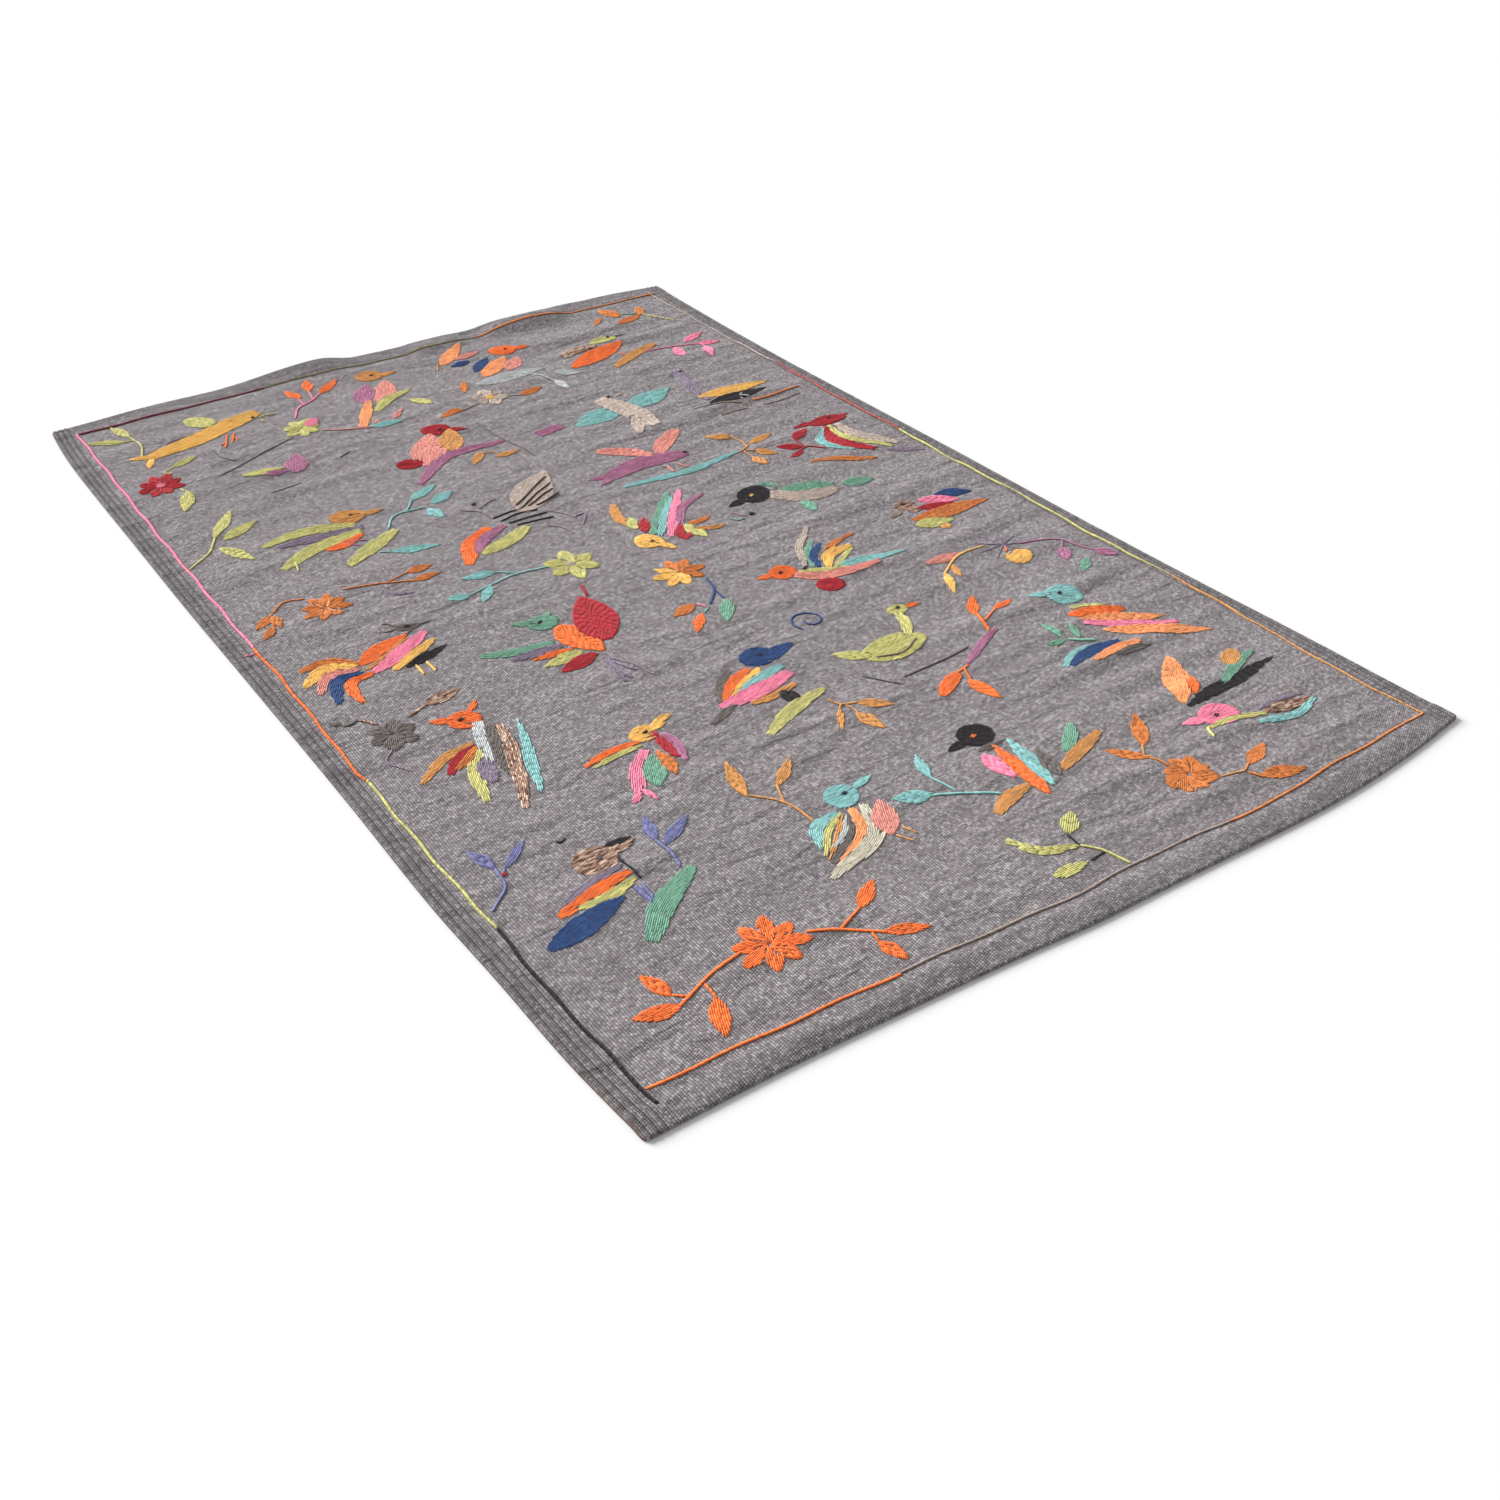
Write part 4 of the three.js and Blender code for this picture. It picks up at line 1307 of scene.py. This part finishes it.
        feather("cream", 26, -150, -835, -180, -900, -290, -945),
        leaf("salmon", 40, -165, -915, -125, -840),
        each(stem, "ochre", (4, -160, -920, -145, -945), (4, -140, -910, -130, -935)),
    ],
    "bird_black_head_on_branch": [
        head("black", 100, -795, 32, 190, "orange"), leaf("taupe", 14, 75, -830, 130, -830),
        leaf("pink", 34, 75, -840, 75, -915), leaf("orange", 30, 90, -975, 105, -830),
        leaf("teal", 28, 110, -960, 135, -830), leaf("taupe", 30, 135, -950, 150, -880),
        each(feather, "ochre", (26, -5, -965, 30, -950, 80, -940), (24, 150, -940, 205, -920, 260, -900)),
        feather("green", 24, 185, -910, 220, -880, 240, -855),
    ],
    "bird_flying_black": [
        leaf("peach", 48, 430, -920, 510, -810), leaf("orange", 20, 465, -915, 495, -870),
        leaf("black", 28, 430, -930, 650, -910), feather("green", 20, 525, -915, 570, -895, 640, -875),
        oval("ochre", 595, -870, 28, 16, 30),
    ],
    "bird_pink_and_lime": [
        head("pink", 450, -975, 34, 170), feather("lime", 16, 410, -995, 450, -995, 510, -1020),
        stem("lime", 7, 410, -990, 400, -1000, 390, -1020), leaf("variegated", 28, 510, -1015, 610, -1025),
        feather("purple_grey", 8, 510, -1005, 560, -1000, 605, -1010),
        feather("teal", 16, 485, -1030, 550, -1045, 610, -1030),
    ],
}

# The leaves, twigs and flowers, given in the same way

PLANTS = {
    "twig_lime_back": [
        stem("lime", 5, -635, 960, -620, 1015, -625, 1070),
        each(leaf, "lime", (24, -625, 1070, -645, 1140), (24, -640, 1050, -710, 1085)),
        stem("lime", 5, -620, 1045, -640, 1050),
    ],
    "flower_red": [
        flower("red", -647, 805, 46, 8, 10, 0.56), oval("pink", -647, 805, 9, 8, lift=1.0),
        stem("lime", 4, -610, 840, -625, 855, -600, 875), leaf("lime", 22, -600, 875, -540, 895),
        stem("lime", 4, -620, 770, -615, 740), leaf("lime", 30, -615, 740, -645, 670),
    ],
    "twig_pink_and_orange": [
        each(stem, "pink", (5, -305, 950, -280, 995, -235, 1020), (4, -260, 1010, -260, 1040),
             (4, -235, 1020, -225, 1075)),
        each(leaf, "orange", (24, -255, 1040, -270, 1100), (24, -225, 1070, -205, 1125),
             (24, -210, 1045, -150, 1095)), stem("pink", 4, -235, 1020, -210, 1045),
        flower("lime", -312, 895, 42, 7, 0, 0.6), oval("pink", -284, 908, 17, 13, 30, lift=1.0),
        each(stem, "taupe", (2.8, -345, 865, -445, 820, -535, 780), (2.8, -485, 825, -500, 850, -505, 900)),
        stem("salmon", 5, -280, 860, -240, 835, -190, 815),
        each(leaf, "salmon", (12, -205, 825, -205, 845), (12, -180, 820, -160, 845)),
        leaf("teal", 28, -190, 820, -120, 805), leaf("salmon", 14, -135, 825, -95, 865),
    ],
    "leaves_purple_and_lime": [
        leaf("lime", 30, -500, 750, -415, 730),
        each(leaf, "purple", (48, -405, 700, -370, 785), (20, -460, 725, -415, 715)),
        each(stem, "taupe", (3.5, -305, 715, -275, 730), (3.5, -480, 640, -415, 650)),
    ],
    "twig_peach_pink_blue": [
        leaf("peach", 38, 80, 1030, 170, 1120), stem("ochre", 4, 60, 1005, 75, 1035, 100, 1030),
        leaf("salmon", 26, 120, 1045, 190, 1050), leaf("blue", 26, 145, 1015, 95, 1010),
    ],
    "flower_beige": [
        flower("beige", 87, 805, 40, 6, 30, 0.74), oval("yellow", 87, 805, 10, 9, lift=1.0),
        leaf("rust", 24, 10, 775, -50, 775), stem("taupe_brown", 4, 50, 790, 10, 775),
        leaf("rust", 28, 150, 775, 210, 790), stem("taupe_brown", 4, 120, 790, 150, 775),
    ],
    "twig_rust_back": [
        each(leaf, "rust", (38, 565, 1050, 545, 1115), (16, 525, 1070, 490, 1030),
             (34, 610, 1030, 530, 1000), (24, 615, 1030, 635, 1080)),
        stem("green", 5, 575, 1060, 595, 1050, 610, 1040), stem("ochre", 5, 610, 1040, 615, 1030),
        stem("lime", 5, 620, 1030, 640, 990, 660, 950),
    ],
    "sprig_ochre_by_branch": [
        stem("ochre", 5, 370, 250, 390, 260, 410, 275), leaf("ochre", 24, 415, 275, 480, 290),
        stem("ochre", 5, 400, 265, 405, 295, 400, 325),
        each(leaf, "ochre", (28, 400, 325, 355, 355), (24, 385, 220, 390, 175), (24, 405, 240, 435, 205)),
        each(stem, "ochre", (4, 380, 250, 385, 215), (4, 385, 250, 405, 240)),
    ],
    "twig_lime_left": [
        stem("lime", 5, -720, 435, -670, 475, -635, 530),
        each(leaf, "lime", (28, -635, 530, -575, 620), (28, -625, 510, -550, 545),
             (28, -645, 485, -605, 405)),
    ],
    "sprig_teal": [
        feather("lime", 32, -475, 280, -410, 320, -345, 360),
        each(stem, "teal", (5, -355, 370, -320, 415, -260, 410), (4, -295, 420, -270, 450)),
        each(leaf, "teal", (26, -270, 450, -200, 490), (28, -240, 415, -185, 445),
             (26, -260, 400, -245, 350)), stem("teal", 4, -410, 295, -390, 285),
        leaf("teal", 26, -390, 285, -300, 255),
    ],
    "flower_rust_left": [
        flower("rust", -570, 165, 44, 8, 20, 0.46), flower("peach", -570, 160, 22, 6, 0, 0.2),
        stem("rust", 5, -590, 215, -625, 225, -655, 200),
        each(leaf, "rust", (22, -655, 195, -700, 160), (20, -660, 190, -660, 145),
             (18, -670, 155, -700, 120)),
        each(stem, "rust", (4, -660, 190, -670, 155), (5, -520, 205, -460, 190, -405, 160)),
        leaf("rust", 24, -400, 195, -350, 195), stem("rust", 4, -440, 185, -400, 195),
        leaf("rust", 20, -405, 160, -350, 160), feather("purple_grey", 8, -465, 165, -450, 135, -420, 120),
    ],
    "flower_lime": [
        flower("lime", -140, 45, 52, 6, 20, 0.6), oval("beige", -143, 45, 9, 8, lift=1.0),
        each(stem, "teal", (5, -180, 65, -240, 75, -290, 65), (4, -240, 80, -265, 100)),
        each(leaf, "teal", (26, -265, 100, -330, 115), (24, -345, 55, -385, 65)),
        stem("teal", 4, -290, 65, -345, 55), leaf("teal", 22, -300, 60, -335, 20),
    ],
    "flower_taupe": [
        flower("taupe", -640, -265, 42, 6, 10, 0.7),
        stem("variegated", 6, -650, -225, -660, -210, -670, -195),
        stem("taupe", 6, -670, -195, -690, -200, -705, -180), leaf("taupe", 12, -695, -195, -710, -175),
        stem("variegated", 5, -600, -235, -560, -220), leaf("variegated", 30, -565, -220, -495, -205),
        stem("purple_grey", 3.5, -660, -305, -680, -330, -660, -370),
    ],
    "flower_yellow_and_rust": [
        flower("rust", 0, -95, 52, [-50, -5, 40, 85], 0, 0.46),
        flower("yellow", 0, -95, 48, [130, 175, 220, 265], 0, 0.46),
        each(stem, "blue", (5, 30, -140, 20, -185, -15, -220), (4, 20, -190, 15, -220)),
        leaf("green", 28, 15, -225, -20, -285), stem("green", 4, -20, -225, -40, -240),
        leaf("orange", 20, -45, -240, -85, -290), stem("pink", 5, -35, -205, -25, -225),
        leaf("rust", 28, -40, -205, -90, -220),
    ],
    "spiral_blue": [
        spiral("blue", 95, -365, 34, 1.6, 4),
    ],
    "sprig_yellow_and_salmon": [
        leaf("salmon", 28, 460, -335, 385, -330), stem("yellow", 5, 515, -340, 450, -340, 390, -375),
        leaf("yellow", 18, 390, -375, 360, -440), leaf("ochre", 16, 420, -360, 405, -405),
    ],
    "fruit_and_purple_twig": [
        oval("yellow", 542, -407, 27, 24, 20), stem("orange", 6, 535, -380, 545, -360),
        flower("purple_grey", 545, -356, 50, 9, 20, 0.09),
        each(stem, "purple", (5, 575, -370, 640, -400, 670, -470), (4, 645, -410, 630, -430)),
        each(leaf, "purple", (28, 630, -430, 605, -470), (28, 670, -470, 695, -510)),
        leaf("green", 20, 640, -485, 595, -515),
    ],
    "twig_purple_and_orange": [
        feather("purple", 16, 225, -630, 280, -600, 340, -575),
        stem("orange", 8, 325, -575, 330, -545, 340, -520), leaf("orange", 20, 335, -520, 380, -465),
        stem("orange", 5, 335, -550, 375, -530), leaf("orange", 20, 375, -530, 425, -515),
        stem("orange", 5, 225, -635, 190, -645), feather("orange", 28, 195, -645, 165, -660, 130, -680),
        stem("orange", 5, 210, -640, 200, -670), leaf("orange", 28, 195, -670, 200, -740),
    ],
    "sprig_ochre_middle": [
        stem("ochre", 5, -30, -580, -20, -605, 10, -620), leaf("ochre", 26, 5, -620, 50, -655),
        stem("ochre", 4, -20, -605, -35, -620), leaf("ochre", 12, -30, -615, -60, -665),
        stem("ochre", 4, -15, -610, -10, -640), leaf("ochre", 24, -15, -640, 0, -700),
    ],
    "sprig_lilac_left": [
        stem("lilac", 5, -710, -735, -670, -695, -665, -650), leaf("lilac", 20, -665, -650, -680, -595),
        stem("lilac", 4, -660, -670, -650, -655), leaf("lilac", 16, -650, -660, -600, -620),
        eye("red", -659, -671, 3.5),
    ],
    "sprig_lilac_middle": [
        stem("lilac", 6, -450, -800, -445, -760, -445, -725),
        each(leaf, "lilac", (20, -445, -730, -430, -670), (20, -440, -745, -375, -705)),
    ],
    "twig_ochre": [
        stem("ochre", 5, -235, -825, -245, -765, -280, -715), leaf("ochre", 24, -280, -720, -260, -630),
        stem("ochre", 5, -245, -765, -225, -720), leaf("ochre", 20, -225, -725, -170, -675),
    ],
    "twig_teal": [
        stem("teal", 6, -60, -875, -15, -900, 30, -935), leaf("teal", 32, -55, -875, -110, -850),
        stem("teal", 5, -20, -890, -30, -840), leaf("teal", 20, -30, -840, -10, -780),
    ],
    "flower_orange": [
        flower("orange", -440, -1005, 54, 8, 20, 0.46),
        stem("orange", 6, -480, -995, -540, -1010, -600, -1035),
        leaf("orange", 28, -600, -1035, -665, -1020), stem("orange", 5, -580, -1030, -600, -1010),
        leaf("orange", 24, -600, -1010, -615, -955), stem("orange", 5, -555, -1020, -555, -1055),
        leaf("orange", 28, -555, -1050, -585, -1115),
        each(stem, "orange", (6, -390, -1015, -340, -1040, -295, -1080), (5, -345, -1035, -300, -1015)),
        each(leaf, "orange", (24, -300, -1015, -245, -980), (22, -300, -1075, -240, -1100)),
        stem("orange", 5, -315, -1065, -320, -1090), leaf("orange", 24, -320, -1085, -310, -1135),
    ],
    "twig_lime_front": [
        feather("lime", 18, -40, -1020, -10, -1070, 40, -1090), leaf("lime", 22, -40, -1120, 25, -1125),
        stem("black", 4, 30, -1125, 60, -1120), leaf("lime", 28, 45, -1060, 85, -1025),
        stem("black", 4, 40, -1060, 40, -1075, 40, -1090), stem("lime", 6, 40, -1090, 60, -1115, 70, -1160),
    ],
    "flower_rust_front": [
        flower("rust", 292, -1062, 42, 8, 0, 0.9), stem("rust", 5, 280, -1030, 270, -995),
        leaf("rust", 24, 275, -1000, 235, -940), stem("ochre", 4, 275, -985, 295, -960),
        leaf("rust", 28, 295, -965, 340, -900), stem("ochre", 5, 325, -1095, 365, -1105),
        stem("rust", 4, 365, -1105, 390, -1090), leaf("rust", 26, 385, -1095, 450, -1070),
        stem("rust", 5, 365, -1110, 380, -1130), leaf("rust", 28, 380, -1125, 450, -1150),
        stem("black", 3.5, -565, -650, -560, -655, -550, -650),
    ],
}


# Operators

# The seed of each table's first motif
BORDER_SEED = 100
BIRDS_SEED = 200
PLANTS_SEED = 300


def yarn_materials():
    """The material of every yarn, made once."""
    colours = bpy.context.scene.rug_yarns
    return {
        yarn: bpy.data.materials.get(f"yarn_{yarn}") or yarn_material(yarn, getattr(colours, yarn))
        for yarn in YARNS
    }


def work_all(motifs, first_seed):
    """Works every motif of a table, each with a seed of its own."""
    materials = yarn_materials()
    for number, (name, shapes) in enumerate(motifs.items()):
        work_motif(name, shapes, materials, first_seed + number)


class RUG_OT_ground_cloth(bpy.types.Operator):
    """Weave the grey ground cloth with its corded sides, hems and folds"""

    bl_idname = "rug.ground_cloth"
    bl_label = "Weave the ground cloth"

    def execute(self, context):
        settings = context.scene.rug_cloth
        cloth = add_piece("rug_cloth", make_ground_cloth(settings), [cloth_material(settings)])
        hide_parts("rug")
        return {"FINISHED"}


class RUG_OT_border_line(bpy.types.Operator):
    """Stitch the line of changing colours that runs round the rug"""

    bl_idname = "rug.border_line"
    bl_label = "Stitch the border line"

    def execute(self, context):
        work_all(BORDER, BORDER_SEED)
        return {"FINISHED"}


class RUG_OT_birds(bpy.types.Operator):
    """Embroider the birds, with the branches that some of them sit on"""

    bl_idname = "rug.birds"
    bl_label = "Embroider the birds"

    def execute(self, context):
        work_all(BIRDS, BIRDS_SEED)
        return {"FINISHED"}


class RUG_OT_plants(bpy.types.Operator):
    """Embroider the twigs, leaves and flowers"""

    bl_idname = "rug.plants"
    bl_label = "Embroider the leaves and flowers"

    def execute(self, context):
        work_all(PLANTS, PLANTS_SEED)
        return {"FINISHED"}


# The floor's half width and how far it lies under the rug, in metres, and the camera's sensor in millimetres
FLOOR_HALF = 20.0
FLOOR_DROP = 0.001
FLOOR_ROUGHNESS = 0.9
SENSOR_WIDTH = 36.0
LAMP_DIRECTION = (0.42, -0.78, -0.47)
CAMERA_PLACE = (-1.38846, -2.35014, 1.50574)
CAMERA_RIGHT = (0.82182, -0.56967, -0.00963)
CAMERA_UP = (0.33666, 0.47189, 0.81485)
CAMERA_FORWARD = (0.45965, 0.67290, -0.57960)


def add_lamp(name, direction, spread, strength):
    """A distant wide lamp that shines along a direction, evenly over the floor."""
    lamp = bpy.data.lights.new(name, "SUN")
    lamp.angle, lamp.energy = spread, strength
    holder = bpy.data.objects.new(name, lamp)
    bpy.context.scene.collection.objects.link(holder)
    holder.rotation_euler = Vector(direction).to_track_quat("-Z", "Y").to_euler()


class RUG_OT_stage(bpy.types.Operator):
    """Set out the pale floor, the soft light and the camera"""

    bl_idname = "rug.stage"
    bl_label = "Set the floor, light and camera"

    def execute(self, context):
        settings = context.scene.rug_stage
        half, under = FLOOR_HALF, -FLOOR_DROP
        mesh = bpy.data.meshes.new("floor")
        corners = [(-half, -half, under), (half, -half, under), (half, half, under), (-half, half, under)]
        mesh.from_pydata(corners, [], [(0, 1, 2, 3)])
        material, shader, _ = new_material("floor_plain")
        shader.inputs["Base Color"].default_value = (*settings.floor, 1.0)
        shader.inputs["Roughness"].default_value = FLOOR_ROUGHNESS
        mesh.materials.append(material)
        floor = bpy.data.objects.new("floor", mesh)
        context.scene.collection.objects.link(floor)

        world = bpy.data.worlds.new("studio")
        world.use_nodes = True
        sky = world.node_tree.nodes["Background"].inputs
        sky["Color"].default_value = (1.0, 1.0, 1.0, 1.0)
        sky["Strength"].default_value = settings.sky_strength
        context.scene.world = world
        context.scene.view_settings.view_transform = "Standard"
        add_lamp("soft_lamp", LAMP_DIRECTION, settings.lamp_spread, settings.lamp_strength)

        camera = bpy.data.cameras.new("camera")
        camera.lens, camera.sensor_width = settings.camera_lens, SENSOR_WIDTH
        holder = bpy.data.objects.new("camera", camera)
        backward = tuple(-value for value in CAMERA_FORWARD)
        columns = Matrix((CAMERA_RIGHT, CAMERA_UP, backward)).transposed()
        holder.matrix_world = Matrix.Translation(CAMERA_PLACE) @ columns.to_4x4()
        context.scene.collection.objects.link(holder)
        context.scene.camera = holder
        return {"FINISHED"}


OPERATORS = (RUG_OT_ground_cloth, RUG_OT_border_line, RUG_OT_birds, RUG_OT_plants, RUG_OT_stage)


class RUG_PT_panel(bpy.types.Panel):
    """The rug's steps, with the sizes and colours that each uses"""

    bl_idname = "RUG_PT_panel"
    bl_label = "Embroidered kilim rug"
    bl_space_type = "VIEW_3D"
    bl_region_type = "UI"
    bl_category = "Rug"

    def draw(self, context):
        column = self.layout.column()
        for group in SETTINGS:
            values = getattr(context.scene, group)
            for key in values.bl_rna.properties.keys():
                if key not in ("rna_type", "name"):
                    column.prop(values, key)
        for operator in OPERATORS:
            column.operator(operator.bl_idname)


SETTINGS = {
    "rug_cloth": RugClothSettings,
    "rug_stitches": RugStitchSettings,
    "rug_yarns": RugYarnSettings,
    "rug_stage": RugStageSettings,
}
CLASSES = (*SETTINGS.values(), *OPERATORS, RUG_PT_panel)


def register():
    """Adds the classes, and the settings to each scene."""
    for cls in CLASSES:
        bpy.utils.register_class(cls)
    for group, cls in SETTINGS.items():
        setattr(bpy.types.Scene, group, bpy.props.PointerProperty(type=cls))


def unregister():
    """Takes the settings and the classes away again."""
    for group in SETTINGS:
        delattr(bpy.types.Scene, group)
    for cls in reversed(CLASSES):
        bpy.utils.unregister_class(cls)


def main():
    register()
    bpy.ops.rug.ground_cloth()
    bpy.ops.rug.border_line()
    bpy.ops.rug.birds()
    bpy.ops.rug.plants()
    bpy.ops.rug.stage()


if __name__ == "__main__":
    main()
